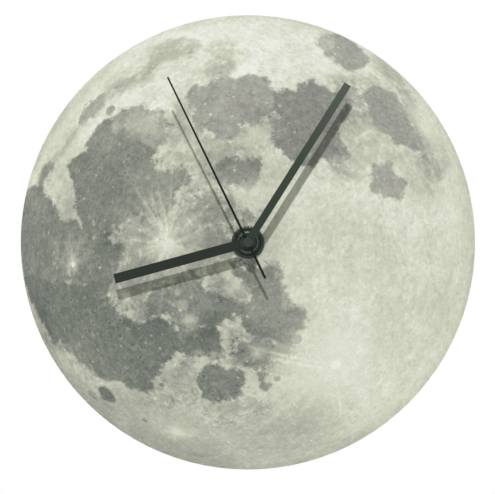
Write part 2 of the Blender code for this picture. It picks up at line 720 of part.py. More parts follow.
def make_cover(case):
    """Front cover with clip legs that snap into the housing's windows."""
    mesh = bmesh.new()
    outline = rounded_rectangle(-half_width, case_bottom, half_width, case_top, CASE_CORNER)
    add_plate(mesh, outline, cover_start, cover_top, [circle(thread_bore, TUBE_FACETS)])
    cover = piece("front_cover", mesh, case, BLACK_PLASTIC)
    added = bmesh.new()
    root = cover_top - COVER_THICKNESS / 3
    end = cover_start - CLIP_LENGTH
    outer = half_inside - 0.6 * ROOM_GAP
    inner = outer - CLIP_THICKNESS
    barb = outer + CLIP_BARB
    leg = [(inner, end), (outer, end), (barb, end + CLIP_BARB), (barb, cover_start - CLIP_LENGTH * 0.6),
           (outer, cover_start - CLIP_LENGTH * 0.6), (outer, root), (inner, root)]
    for side in (-1, 1):
        for height in clip_heights:
            add_leg(added, [(side * x, z) for x, z in leg], height)
    boss_start = cover_start - 2 * ROOM_GAP
    boss = circle(3 * ARBOR_RADIUS + RUNNING_GAP, BEARING_FACETS, minute_wheel_axis)
    add_plate(added, boss, boss_start, root)
    add_plate(added, circle(SETTING_ARBOR_RADIUS + 2 * ROOM_GAP, BEARING_FACETS, setting_axis),
              cover_start - 3 * ROOM_GAP, root)
    boolean(cover, "cover_legs", added, 'UNION')
    cuts = bmesh.new()
    add_plate(cuts, circle(ARBOR_RADIUS + RUNNING_GAP, ARBOR_FACETS, minute_wheel_axis),
              boss_start - ROOM_GAP, cover_start)
    add_plate(cuts, circle(SETTING_ARBOR_RADIUS + RUNNING_GAP, BEARING_FACETS, setting_axis),
              cover_start - 4 * ROOM_GAP, cover_start)
    boolean(cover, "cover_bearings", cuts, 'DIFFERENCE')


def add_leg(mesh, outline, height):
    """Add a clip leg, drawn in x and z, with its width along y."""
    first = [mesh.verts.new((x, height - CLIP_WIDTH / 2, z)) for x, z in outline]
    second = [mesh.verts.new((x, height + CLIP_WIDTH / 2, z)) for x, z in outline]
    bridge(mesh, first, second)
    mesh.faces.new(first)
    mesh.faces.new(second)


def make_plate(case):
    """Middle plate, which carries the front ends of the arbors."""
    mesh = bmesh.new()
    margin = 3 * ROOM_GAP
    outline = rounded_rectangle(margin - half_inside, chamber_bottom + 1.6 * ROOM_GAP,
                                half_inside - margin, plate_edge, CASE_CORNER / 2)
    arbor_hole = ARBOR_RADIUS + RUNNING_GAP
    holes = [circle(minute_tube_radius + TUBE_GAP, TUBE_FACETS)]
    for axis in (third_axis, intermediate_axis, rotor_axis, minute_wheel_axis):
        holes.append(circle(arbor_hole, ARBOR_FACETS, axis))
    holes.append(circle(SETTING_ARBOR_RADIUS + TUBE_GAP, BEARING_FACETS, setting_axis))
    for place in pillars:
        holes.append(circle(STAKE_RADIUS + RUNNING_GAP, ARBOR_FACETS, place))
    add_plate(mesh, outline, plate_start, plate_top, holes)
    piece("middle_plate", mesh, case, WHITE_PLASTIC)


def make_bushing_and_dial(case):
    """Threaded bushing, washer, dial, its print and the nut that clamps them."""
    mesh = bmesh.new()
    flange_top = cover_start - SEAT_GAP
    flange_start = flange_top - BUSHING_FLANGE_HEIGHT
    chamfer = 4 * SEAT_GAP
    add_turned(mesh, [(bushing_bore, flange_start), (bushing_flange_radius, flange_start),
                      (bushing_flange_radius, flange_top), (bushing_radius, flange_top),
                      (bushing_radius, bushing_top - chamfer), (bushing_radius - chamfer, bushing_top),
                      (bushing_bore, bushing_top)])
    piece("threaded_bushing", mesh, case, BRASS)

    dial_bore = thread_bore + RUNNING_GAP
    mesh = bmesh.new()
    add_turned(mesh, [(dial_bore, washer_start), (NUT_DIAMETER / 2, washer_start),
                      (NUT_DIAMETER / 2, washer_start + WASHER_THICKNESS),
                      (dial_bore, washer_start + WASHER_THICKNESS)])
    piece("rubber_washer", mesh, case, RUBBER)

    mesh = bmesh.new()
    bore = circle(dial_bore)
    dial = circle(DIAL_DIAMETER / 2, DIAL_FACETS)
    add_stack(mesh, [(dial, dial_start, dial_start + DIAL_THICKNESS)], bore)
    piece("dial_plate", mesh, case, PALE_BOARD)

    mesh = bmesh.new()
    film = circle(DIAL_DIAMETER / 2 - PRINT_INSET, DIAL_FACETS)
    add_stack(mesh, [(film, print_start, print_top)], bore)
    piece("moon_print", mesh, case, MOON_FILM)

    mesh = bmesh.new()
    flange_top = nut_start + NUT_FLANGE_HEIGHT
    boss = NUT_BOSS_DIAMETER / 2
    middle = boss - NUT_BOSS_ROUNDING
    profile = [(boss, flange_top)]
    for i in range(4):
        angle = math.radians(90 * i / 3)
        profile.append((middle + NUT_BOSS_ROUNDING * math.cos(angle),
                        nut_top - NUT_BOSS_ROUNDING * (1 - math.sin(angle))))
    profile += [(thread_bore, nut_top), (thread_bore, nut_start)]
    outline = ribbed(NUT_DIAMETER / 2, NUT_WAVE_DEPTH, NUT_WAVES, RIB_STEPS)
    add_grip(mesh, outline, nut_start, flange_top, NUT_WAVE_DEPTH, profile, BOSS_FACETS)
    piece("fixing_nut", mesh, case, BLACK_NUT)


def hand_outline(hub_radius, length, half_width_of_blade, facets=20):
    """A straight blade with a square end that points up from a round hub."""
    reach = math.degrees(math.acos(half_width_of_blade / hub_radius))
    points = [polar(hub_radius, 180 - reach + (180 + 2 * reach) * i / facets) for i in range(facets + 1)]
    return points + [(half_width_of_blade, length), (-half_width_of_blade, length)]


def point(hand, degrees):
    """Turn a hand clockwise from twelve."""
    hand.rotation_euler = (0.0, 0.0, -math.radians(degrees))


def make_hands(hours, minutes, seconds):
    """Hour, minute and second hand with the collets and the cap that seat them."""
    hub_radius = HAND_HUB_DIAMETER / 2
    hour_hole = hour_tube_radius + PRESS_GAP
    mesh = bmesh.new()
    add_plate(mesh, hand_outline(hub_radius, HOUR_HAND_LENGTH, HOUR_HAND_WIDTH / 2), hour_hand_start,
              hour_hand_start + HAND_THICKNESS, [circle(hour_hole)])
    point(piece("hour_hand", mesh, hours, BLACK_METAL), HOUR_HAND_ANGLE)
    mesh = bmesh.new()
    collet_top = hour_hand_start - SEAT_GAP
    collet_start = collet_top - HOUR_COLLET_HEIGHT
    add_turned(mesh, [(hour_hole, collet_start), (hour_hole + COLLET_WALL, collet_start),
                      (hour_hole + COLLET_WALL, collet_top), (hour_hole, collet_top)])
    piece("hour_collet", mesh, hours, BRASS)

    seat = flatted_circle(minute_seat_radius + PRESS_GAP, minute_seat_radius * TUBE_FLAT_SHARE + PRESS_GAP)
    mesh = bmesh.new()
    add_plate(mesh, hand_outline(hub_radius, MINUTE_HAND_LENGTH, MINUTE_HAND_WIDTH / 2), minute_hand_start,
              minute_hand_start + HAND_THICKNESS, [seat])
    point(piece("minute_hand", mesh, minutes, BLACK_METAL), MINUTE_HAND_ANGLE)
    mesh = bmesh.new()
    add_plate(mesh, circle(minute_tube_radius + COLLET_WALL), minute_collet_start,
              minute_collet_start + MINUTE_COLLET_HEIGHT, [seat])
    point(piece("minute_collet", mesh, minutes, BRASS), MINUTE_HAND_ANGLE)

    make_second_hand(seconds)


def make_second_hand(seconds):
    """Slim blade with a tail, sloped forward, on a flat hub with a pipe under it."""
    hub_radius = SECOND_CAP_DIAMETER / 2
    hole = circle(SECONDS_SHAFT_RADIUS + PRESS_GAP, ARBOR_FACETS)
    half_root = SECOND_HAND_ROOT_WIDTH / 2
    half_tip = SECOND_HAND_TIP_WIDTH / 2
    lean = math.degrees(math.asin(half_root / hub_radius))
    right = [polar(hub_radius, -90 + lean + (180 - 2 * lean) * i / 8) for i in range(9)]
    left = [(-x, y) for x, y in reversed(right)]
    top = [(half_tip, SECOND_HAND_LENGTH), (-half_tip, SECOND_HAND_LENGTH)]
    bottom = [(-half_root, -SECOND_HAND_TAIL), (half_root, -SECOND_HAND_TAIL)]
    slope = math.tan(math.radians(SECOND_HAND_RISE_ANGLE))
    mesh = bmesh.new()
    add_plate(mesh, right + top + left + bottom, second_hand_start,
              second_hand_start + SECOND_HAND_THICKNESS, [hole])
    for vertex in mesh.verts:
        beyond = max(abs(vertex.co.y) - hub_radius, 0.0)
        vertex.co.z += math.copysign(beyond, vertex.co.y) * slope
    hand = piece("second_hand", mesh, seconds, BLACK_METAL)
    point(hand, SECOND_HAND_ANGLE)
    pipe = bmesh.new()
    outer = SECONDS_SHAFT_RADIUS * 2
    pipe_start = minute_tube_top + TUBE_GAP
    hole_radius = SECONDS_SHAFT_RADIUS + PRESS_GAP
    overlap = second_hand_start + SECOND_HAND_THICKNESS / 2
    profile = [(hole_radius, pipe_start), (outer, pipe_start), (outer, overlap), (hole_radius, overlap)]
    add_turned(pipe, profile, ARBOR_FACETS)
    boolean(hand, "second_hand_pipe", pipe, 'UNION')

    mesh = bmesh.new()
    edge = SECOND_CAP_HEIGHT / 2
    profile = [(0.0, second_cap_start), (hub_radius, second_cap_start)]
    for i in range(4):
        angle = math.radians(90 * i / 3)
        profile.append((hub_radius - edge * (1 - math.cos(angle)),
                        second_cap_start + edge * (1 + math.sin(angle))))
    profile.append((0.0, second_cap_start + SECOND_CAP_HEIGHT))
    add_turned(mesh, profile)
    piece("second_hand_cap", mesh, seconds, BLACK_NUT)


def lightened(wheel_radius, hub_radius):
    """Round holes in a wheel's web."""
    web = wheel_radius * WEB_SHARE
    middle = (web + hub_radius) / 2
    radius = (web - hub_radius) * WEB_HOLE_SHARE
    step = 360 / WEB_HOLES
    return [circle(radius, PILLAR_FACETS, polar(middle, step * (k + 0.5))) for k in range(WEB_HOLES)]


def make_going_train(case, seconds, minutes, axes):
    """Rotor, intermediate wheel, seconds wheel, third wheel and centre wheel."""
    arbor = circle(ARBOR_RADIUS, ARBOR_FACETS)
    to_seconds = facing(intermediate_axis, centre_axis)
    to_intermediate = facing(centre_axis, intermediate_axis)
    to_third = facing(centre_axis, third_axis)
    to_rotor = facing(intermediate_axis, rotor_axis)

    mesh = bmesh.new()
    pinion = pinion_outline(ROTOR_LEAVES, TRAIN_MODULE,
                            meshed(to_rotor, to_rotor, INTERMEDIATE_TEETH, ROTOR_LEAVES))
    pinion_start = layer_a - 0.6 * ROOM_GAP
    pinion_top = layer_a + WHEEL_THICKNESS + WHEEL_GAP
    add_stack(mesh, [(arbor, arbor_start, pinion_start), (pinion, pinion_start, pinion_top),
                     (arbor, pinion_top, arbor_top)])
    piece("rotor_pinion", mesh, axes["rotor"], WHITE_PLASTIC)
    mesh = bmesh.new()
    magnet_bore = ARBOR_RADIUS + PRESS_GAP
    magnet_top = magnet_start + MAGNET_HEIGHT
    add_turned(mesh, [(magnet_bore, magnet_start), (MAGNET_RADIUS, magnet_start),
                      (MAGNET_RADIUS, magnet_top), (magnet_bore, magnet_top)], BEARING_FACETS)
    piece("rotor_magnet", mesh, axes["rotor"], FERRITE)

    mesh = bmesh.new()
    wheel = gear_outline(INTERMEDIATE_TEETH, TRAIN_MODULE, to_rotor)
    pinion = pinion_outline(INTERMEDIATE_LEAVES, seconds_module,
                            meshed(to_intermediate, to_intermediate, SECONDS_TEETH, INTERMEDIATE_LEAVES))
    wheel_top = layer_a + WHEEL_THICKNESS
    pinion_top = layer_b + WHEEL_THICKNESS + WHEEL_GAP / 2
    add_stack(mesh, [(arbor, arbor_start, layer_a), (wheel, layer_a, wheel_top),
                     (pinion, wheel_top, pinion_top), (arbor, pinion_top, arbor_top)])
    piece("intermediate_wheel", mesh, axes["intermediate"], WHITE_PLASTIC)

    mesh = bmesh.new()
    wheel = gear_outline(SECONDS_TEETH, seconds_module, to_intermediate)
    pinion = pinion_outline(SECONDS_LEAVES, TRAIN_MODULE, meshed(to_third + math.pi, to_third + math.pi,
                                                                 THIRD_TEETH, SECONDS_LEAVES))
    wheel_top = layer_b + WHEEL_THICKNESS
    pinion_top = layer_c + WHEEL_THICKNESS + SEAT_GAP
    add_stack(mesh, [(wheel, layer_b, wheel_top), (pinion, wheel_top, pinion_top)],
              circle(SECONDS_SHAFT_RADIUS + PRESS_GAP, ARBOR_FACETS))
    piece("seconds_wheel", mesh, seconds, WHITE_PLASTIC)
    mesh = bmesh.new()
    shaft_top = second_hand_start + SECOND_HAND_THICKNESS - SEAT_GAP / 2
    add_plate(mesh, circle(SECONDS_SHAFT_RADIUS, ARBOR_FACETS), arbor_start, shaft_top)
    piece("seconds_shaft", mesh, seconds, STEEL)

    mesh = bmesh.new()
    wheel = gear_outline(THIRD_TEETH, TRAIN_MODULE, to_third + math.pi)
    pinion = pinion_outline(THIRD_LEAVES, centre_module,
                            meshed(to_third, to_third, CENTRE_TEETH, THIRD_LEAVES))
    wheel_top = layer_c + WHEEL_THICKNESS
    pinion_top = layer_d + WHEEL_THICKNESS + ROOM_GAP
    leaf_radius = centre_module * THIRD_LEAVES / 2
    add_stack(mesh, [(arbor, arbor_start, layer_c),
                     (wheel, layer_c, wheel_top, lightened(TRAIN_MODULE * THIRD_TEETH / 2, leaf_radius)),
                     (pinion, wheel_top, pinion_top), (arbor, pinion_top, arbor_top)])
    piece("third_wheel", mesh, axes["third"], WHITE_PLASTIC)

    mesh = bmesh.new()
    journal = (minute_bore + minute_tube_radius) / 2
    wheel = gear_outline(CENTRE_TEETH, centre_module, to_third)
    add_stack(mesh, [(wheel, layer_d, centre_wheel_top,
                      lightened(centre_module * CENTRE_TEETH / 2, minute_tube_radius))],
              circle(journal + RUNNING_GAP))
    piece("centre_wheel", mesh, axes["centre"], WHITE_PLASTIC)


def make_motion_work(hours, minutes, axes):
    """Minute tube with its clutch, minute wheel, hour wheel and time setting."""
    to_minute_wheel = facing(centre_axis, minute_wheel_axis)
    to_setting = facing(minute_wheel_axis, setting_axis)
    wheel_phase = to_minute_wheel + math.pi
    overhang = WHEEL_GAP / 2
    journal = (minute_bore + minute_tube_radius) / 2

    mesh = bmesh.new()
    cannon = pinion_outline(CANNON_LEAVES, cannon_module,
                            meshed(wheel_phase, wheel_phase, MINUTE_WHEEL_TEETH, CANNON_LEAVES))
    rivet_top = layer_d - SEAT_GAP
    seat_start = hour_tube_top + SEAT_GAP
    flats = flatted_circle(minute_seat_radius, minute_seat_radius * TUBE_FLAT_SHARE, MINUTE_HAND_ANGLE)
    tube = circle(minute_tube_radius)
    add_stack(mesh, [(circle(journal + 0.8 * ROOM_GAP), rivet_top - TUBE_GAP, rivet_top),
                     (circle(journal), rivet_top, tube_shoulder),
                     (tube, tube_shoulder, layer_e - overhang),
                     (cannon, layer_e - overhang, layer_e + WHEEL_THICKNESS + overhang),
                     (tube, layer_e + WHEEL_THICKNESS + overhang, seat_start),
                     (flats, seat_start, minute_tube_top)], circle(minute_bore, ARBOR_FACETS))
    piece("minute_tube", mesh, minutes, BRASS)

    mesh = bmesh.new()
    star = []
    for k in range(CLUTCH_ARMS):
        arm = 360 * k / CLUTCH_ARMS
        star.append(polar(CLUTCH_REACH, arm - CLUTCH_ARM_SPREAD / 2))
        star.append(polar(CLUTCH_REACH, arm + CLUTCH_ARM_SPREAD / 2))
        star.append(polar(CLUTCH_REACH / 2, arm + 180 / CLUTCH_ARMS))
    add_plate(mesh, star, clutch_start, clutch_start + CLUTCH_THICKNESS, [circle(journal + SEAT_GAP)])
    piece("clutch_spring", mesh, minutes, STEEL)

    mesh = bmesh.new()
    wheel = gear_outline(MINUTE_WHEEL_TEETH, cannon_module, wheel_phase)
    pinion = pinion_outline(MINUTE_WHEEL_LEAVES, hour_module,
                            meshed(to_minute_wheel, to_minute_wheel, HOUR_TEETH, MINUTE_WHEEL_LEAVES))
    arbor = circle(ARBOR_RADIUS, ARBOR_FACETS)
    wheel_top = layer_e + WHEEL_THICKNESS
    pinion_top = train_top + overhang
    arbor_low = plate_start + END_PLAY
    add_stack(mesh, [(arbor, arbor_low, layer_e), (wheel, layer_e, wheel_top),
                     (pinion, wheel_top, pinion_top), (arbor, pinion_top, cover_start - END_PLAY)])
    piece("minute_wheel", mesh, axes["minute_wheel"], WHITE_PLASTIC)

    mesh = bmesh.new()
    wheel = gear_outline(HOUR_TEETH, hour_module, to_minute_wheel)
    tube = circle(hour_tube_radius)
    add_stack(mesh, [(tube, layer_f - overhang, layer_f), (wheel, layer_f, train_top),
                     (tube, train_top, hour_tube_top)], circle(hour_bore))
    piece("hour_wheel", mesh, hours, BLACK_PLASTIC)

    mesh = bmesh.new()
    pinion = pinion_outline(SETTING_LEAVES, cannon_module,
                            meshed(to_setting, wheel_phase, MINUTE_WHEEL_TEETH, SETTING_LEAVES))
    arbor = circle(SETTING_ARBOR_RADIUS, BEARING_FACETS)
    spigot = circle(KNOB_SPIGOT_RADIUS, ARBOR_FACETS)
    add_stack(mesh, [(spigot, socket_start + SEAT_GAP, well_depth - SEAT_GAP),
                     (arbor, well_depth - SEAT_GAP, layer_e - overhang),
                     (pinion, layer_e - overhang, layer_e + WHEEL_THICKNESS + overhang),
                     (arbor, layer_e + WHEEL_THICKNESS + overhang, cover_start - END_PLAY)])
    piece("setting_pinion", mesh, axes["setting"], WHITE_PLASTIC)

    mesh = bmesh.new()
    knob = ribbed(knob_radius, KNOB_RIB_DEPTH, KNOB_RIBS, RIB_STEPS)
    add_plate(mesh, knob, knob_start, knob_top)
    setting_knob = piece("setting_knob", mesh, axes["setting"], WHITE_PLASTIC)
    hollow = bmesh.new()
    socket = circle(KNOB_SPIGOT_RADIUS + PRESS_GAP, ARBOR_FACETS)
    add_plate(hollow, socket, socket_start, knob_top + ROOM_GAP)
    dish_edge = KNOB_DISH_DIAMETER / 2
    dish_bottom = knob_start + KNOB_DISH_DEPTH
    add_turned(hollow, [(0.0, knob_start - ROOM_GAP), (dish_edge, knob_start - ROOM_GAP),
                        (dish_edge, knob_start), (dish_edge - KNOB_DISH_DEPTH, dish_bottom),
                        (0.0, dish_bottom)])
    boolean(setting_knob, "knob_hollows", hollow, 'DIFFERENCE')


def laid_along_x(x, y, z):
    """Lay a profile that is turned about z along x, with its start at a point."""
    return Matrix.Translation((x, y, z)) @ Matrix.Rotation(math.pi / 2, 4, 'Y')


def make_motor(case):
    """Stator plate, core, bobbin and winding of the stepping motor."""
    half_arm = STATOR_ARM_WIDTH / 2
    bar_bottom = rotor_axis[1] - STATOR_BAR_HALF_HEIGHT
    bar_top = rotor_axis[1] + STATOR_BAR_HALF_HEIGHT
    arm_top = coil_height + half_arm
    outer_left = arm_left - half_arm
    inner_left = arm_left + half_arm
    inner_right = arm_right - half_arm
    outer_right = arm_right + half_arm
    outline = [(outer_left, bar_bottom), (outer_right, bar_bottom), (outer_right, arm_top),
               (inner_right, arm_top), (inner_right, bar_top), (inner_left, bar_top),
               (inner_left, arm_top), (outer_left, arm_top)]
    stake_hole = STAKE_RADIUS + RUNNING_GAP
    posts = [circle(stake_hole, ARBOR_FACETS, place) for place in stator_posts]
    mesh = bmesh.new()
    rotor_hole = circle(MAGNET_RADIUS + WHEEL_GAP, BEARING_FACETS, rotor_axis)
    add_plate(mesh, outline, stator_start, stator_top, [rotor_hole] + posts)
    piece("stator_plate", mesh, case, STEEL)

    mesh = bmesh.new()
    core = rectangle(outer_left, coil_height - half_arm, outer_right, coil_height + half_arm)
    add_plate(mesh, core, core_start, core_top, posts)
    piece("coil_core", mesh, case, STEEL)

    along_x = laid_along_x(rotor_axis[0], coil_height, coil_depth)
    mesh = bmesh.new()
    flange = bobbin_half - BOBBIN_FLANGE_THICKNESS
    add_turned(mesh, [(0.0, -bobbin_half), (BOBBIN_FLANGE_RADIUS, -bobbin_half),
                      (BOBBIN_FLANGE_RADIUS, -flange), (BOBBIN_TUBE_RADIUS, -flange),
                      (BOBBIN_TUBE_RADIUS, flange), (BOBBIN_FLANGE_RADIUS, flange),
                      (BOBBIN_FLANGE_RADIUS, bobbin_half), (0.0, bobbin_half)], BEARING_FACETS, along_x)
    bobbin = piece("coil_bobbin", mesh, case, BLACK_PLASTIC)
    channel = bmesh.new()
    half_slot = half_arm + SEAT_GAP
    slot = rectangle(arm_left, coil_height - half_slot, arm_right, coil_height + half_slot)
    add_plate(channel, slot, core_start - SEAT_GAP, core_top + SEAT_GAP)
    boolean(bobbin, "bobbin_channel", channel, 'DIFFERENCE')

    mesh = bmesh.new()
    ends = flange - SEAT_GAP
    inner = BOBBIN_TUBE_RADIUS + SEAT_GAP
    add_turned(mesh, [(inner, -ends), (WINDING_RADIUS, -ends), (WINDING_RADIUS, ends), (inner, ends)],
               BEARING_FACETS, along_x)
    piece("coil_winding", mesh, case, COPPER)


def make_circuit(case):
    """Circuit board with its chip and crystal, the contact strips and the battery."""
    mesh = bmesh.new()
    corner = CASE_CORNER - CASE_WALL
    board = rounded_rectangle(board_left, board_bottom, board_right, board_upper, corner, 3)
    pillar_hole = circle(PILLAR_RADIUS + TUBE_GAP, ARBOR_FACETS, board_pillar)
    add_plate(mesh, board, board_start, board_top, [pillar_hole])
    piece("circuit_board", mesh, case, GREEN_LAMINATE)

    chip_place = (board_right - CHIP_RADIUS - 2 * ROOM_GAP, board_bottom + CHIP_RADIUS + 4 * ROOM_GAP)
    mesh = bmesh.new()
    base = board_top + SEAT_GAP
    profile = [(0.0, base)]
    for i in range(4):
        angle = math.radians(90 * i / 3)
        profile.append((CHIP_RADIUS * math.cos(angle), base + CHIP_HEIGHT * math.sin(angle)))
    profile[-1] = (0.0, base + CHIP_HEIGHT)
    add_turned(mesh, profile, ARBOR_FACETS, centre=chip_place)
    piece("control_chip", mesh, case, RESIN)

    mesh = bmesh.new()
    radius = CRYSTAL_DIAMETER / 2
    along_x = laid_along_x(board_right - CRYSTAL_LENGTH - ROOM_GAP, board_upper - radius - ROOM_GAP,
                           board_top + SEAT_GAP + radius)
    can = [(0.0, 0.0), (radius, 0.0), (radius, CRYSTAL_LENGTH), (0.0, CRYSTAL_LENGTH)]
    add_turned(mesh, can, ARBOR_FACETS, along_x)
    piece("quartz_crystal", mesh, case, STEEL)

    low = bay_bottom + CASE_CORNER - CASE_WALL
    spread = BATTERY_DIAMETER / 5
    lower_bend = battery_height - spread
    upper_bend = battery_height + spread
    battery_left = -half_inside + CONTACT_ROOM / 2 + ROOM_GAP / 2
    battery_right = battery_left + BATTERY_LENGTH
    spring_left = battery_left - CONTACT_THICKNESS / 2 - SEAT_GAP * 3
    spring_right = battery_right + CONTACT_THICKNESS / 2 + SEAT_GAP * 3
    negative_end = board_pillar[1] + PILLAR_RADIUS + 4 * ROOM_GAP
    negative = [(-strip_offset, low), (-strip_offset, lower_bend), (spring_left, battery_height),
                (-strip_offset, upper_bend), (-strip_offset, negative_end), (board_pillar[0], negative_end)]
    floor_run = chamber_bottom + ROOM_GAP * 0.6
    positive_end = board_pillar[1] - PILLAR_RADIUS - 1.6 * ROOM_GAP
    positive = [(strip_offset, low), (strip_offset, lower_bend), (spring_right, battery_height),
                (strip_offset, upper_bend), (strip_offset, floor_run), (positive_run, floor_run),
                (positive_run, positive_end), (board_pillar[0] + PILLAR_RADIUS, positive_end)]
    for name, path in (("negative_contact", negative), ("positive_contact", positive)):
        mesh = bmesh.new()
        add_plate(mesh, offset_strip(path, CONTACT_THICKNESS), strip_start, strip_top)
        piece(name, mesh, case, STEEL)
    return battery_left


def make_battery(axis, left):
    """AA cell that lies across the bay, with its raised end to the right."""
    radius = BATTERY_DIAMETER / 2
    nub = NUB_DIAMETER / 2
    rounding = radius / 12
    body = BATTERY_LENGTH - NUB_LENGTH
    profile = [(0.0, 0.0), (radius - rounding, 0.0), (radius, rounding), (radius, body - rounding),
               (radius - rounding, body), (nub, body), (nub, BATTERY_LENGTH), (0.0, BATTERY_LENGTH)]
    mesh = bmesh.new()
    add_turned(mesh, profile, TUBE_FACETS, laid_along_x(left, 0.0, battery_depth))
    piece("battery_cell", mesh, axis, BATTERY_SLEEVE)


def main():
    for item in list(bpy.data.objects):
        bpy.data.objects.remove(item)
    stand = empty("clock", None)
    stand.rotation_euler = (math.radians(90), 0.0, 0.0)
    hours = empty("hours_axis", stand)
    minutes = empty("minutes_axis", stand)
    seconds = empty("seconds_axis", stand)
    axes = {
        "centre": empty("centre_wheel_axis", stand),
        "third": empty("third_wheel_axis", stand, third_axis),
        "intermediate": empty("intermediate_wheel_axis", stand, intermediate_axis),
        "rotor": empty("rotor_axis", stand, rotor_axis),
        "minute_wheel": empty("minute_wheel_axis", stand, minute_wheel_axis),
        "setting": empty("setting_axis", stand, setting_axis),
        "battery": empty("battery_axis", stand, (0.0, battery_height)),
    }
    make_housing(stand)
    make_cover(stand)
    make_plate(stand)
    make_bushing_and_dial(stand)
    make_hands(hours, minutes, seconds)
    make_going_train(stand, seconds, minutes, axes)
    make_motion_work(hours, minutes, axes)
    make_motor(stand)
    battery_left = make_circuit(stand)
    make_battery(axes["battery"], battery_left)


main()
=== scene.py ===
"""The looks of the moon wall clock: its printed dial, its finishes, and a plain studio round it.

The Moon's near side is painted from its geography, so every place below is a longitude and a latitude in
degrees as seen from the Earth, and every lightness is a linear grey between 0 and 1. Lengths are in metres.
"""

import math

import bpy
import numpy as np
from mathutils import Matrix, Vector


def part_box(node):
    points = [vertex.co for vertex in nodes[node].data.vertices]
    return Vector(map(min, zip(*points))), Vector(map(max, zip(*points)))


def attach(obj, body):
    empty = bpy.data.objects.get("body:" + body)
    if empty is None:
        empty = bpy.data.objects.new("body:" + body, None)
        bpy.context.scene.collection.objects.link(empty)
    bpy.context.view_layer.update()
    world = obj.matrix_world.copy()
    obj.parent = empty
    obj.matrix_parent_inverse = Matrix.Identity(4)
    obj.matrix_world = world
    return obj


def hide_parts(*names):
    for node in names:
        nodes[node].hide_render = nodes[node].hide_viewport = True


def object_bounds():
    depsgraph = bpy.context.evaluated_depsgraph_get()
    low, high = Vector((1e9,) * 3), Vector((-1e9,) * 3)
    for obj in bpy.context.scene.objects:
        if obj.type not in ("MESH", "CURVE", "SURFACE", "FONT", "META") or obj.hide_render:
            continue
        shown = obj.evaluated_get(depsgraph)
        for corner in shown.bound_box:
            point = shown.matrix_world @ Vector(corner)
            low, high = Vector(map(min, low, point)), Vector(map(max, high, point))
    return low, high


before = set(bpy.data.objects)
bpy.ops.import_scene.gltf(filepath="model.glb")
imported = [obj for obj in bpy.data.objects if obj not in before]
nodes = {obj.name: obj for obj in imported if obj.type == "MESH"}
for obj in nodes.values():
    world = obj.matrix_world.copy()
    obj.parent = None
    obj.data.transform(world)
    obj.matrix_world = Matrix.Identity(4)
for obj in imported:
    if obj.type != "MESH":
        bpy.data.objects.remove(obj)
cad_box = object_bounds()

# The photograph

PHOTO_WIDTH = 495
PHOTO_HEIGHT = 494
DIAL_CENTRE_PX = (247.88, 242.36)
DIAL_RADIUS_PX = 227.0
CAMERA_DISTANCE = 0.80
SENSOR_WIDTH = 36.0

# Light, faintly olive where it fills: each lamp's name, colour, direction, distance, size and power

FILL_COLOUR = (0.90, 1.0, 0.84)
FILL_STRENGTH = 0.24
LAMPS = (
    ("key", (1.0, 0.957, 1.0), (0.13, 1.0, -1.15), 4.0, 0.16, 134),
    ("behind", (1, 1, 1), (0.4, -1, -0.8), 3.0, 1.2, 35),
)

# Studio floor

FLOOR_HALF = 1.0
FLOOR_BELOW = 0.25
FLOOR_COLOUR = (0.86, 0.86, 0.86, 1)

# Where the painted sheen that lightens the hands towards their tips begins and ends, as distances from the
# axis

HUB_REACH = 0.012
HAND_REACH = 0.12

# Fixing nut

NUT_WAVES = 36
NUT_WAVE_POINTS = 8
NUT_WAVE_DEPTH = 0.0002
NUT_BOSS_RADIUS = 0.00695
NUT_BOSS_ROUNDING = 0.0008
# The radius of the boss's crest, where the nut's colour carries a painted highlight
NUT_CREST_REACH = NUT_BOSS_RADIUS - 0.0005
NUT_ROUNDING_STEPS = 6

# Battery: its button, the slate band and the blend at its end, and the rolled edges as depths and shares of
# the radius

BATTERY_NUB_RADIUS = 0.00275
BATTERY_NUB_LENGTH = 0.001
BATTERY_BAND = 0.013
BATTERY_BLEND = 0.0005
BATTERY_EDGE = ((0.0002, 0.86), (0.0, 0.88), (0.0, 0.93), (0.0001, 0.965), (0.0004, 0.99), (0.0009, 1.0))
BATTERY_AROUND = 72

# The film's web of points, and the angle from which an edge of the turned pieces stays sharp

WEB_SPACING = 0.00085
SHARP_FROM = math.radians(50)

# How the Moon is turned on the dial

MOON_TURN = math.radians(42.74)
EAST_NOD = math.radians(4.99)
NORTH_NOD = math.radians(-3.24)
MOON_OVER_DIAL = 1.025

# The Moon's lightness, and how many small craters have no name

DARKEST, LIGHTEST = 0.12, 0.86
HIGHLAND = 0.68
PLAIN_RAY = 0.84
PITS = 700
SPECKS = 260

# Seas and other dark ground: lightness, width of the shore in degrees, and outline, as a longitude and
# a latitude in turn

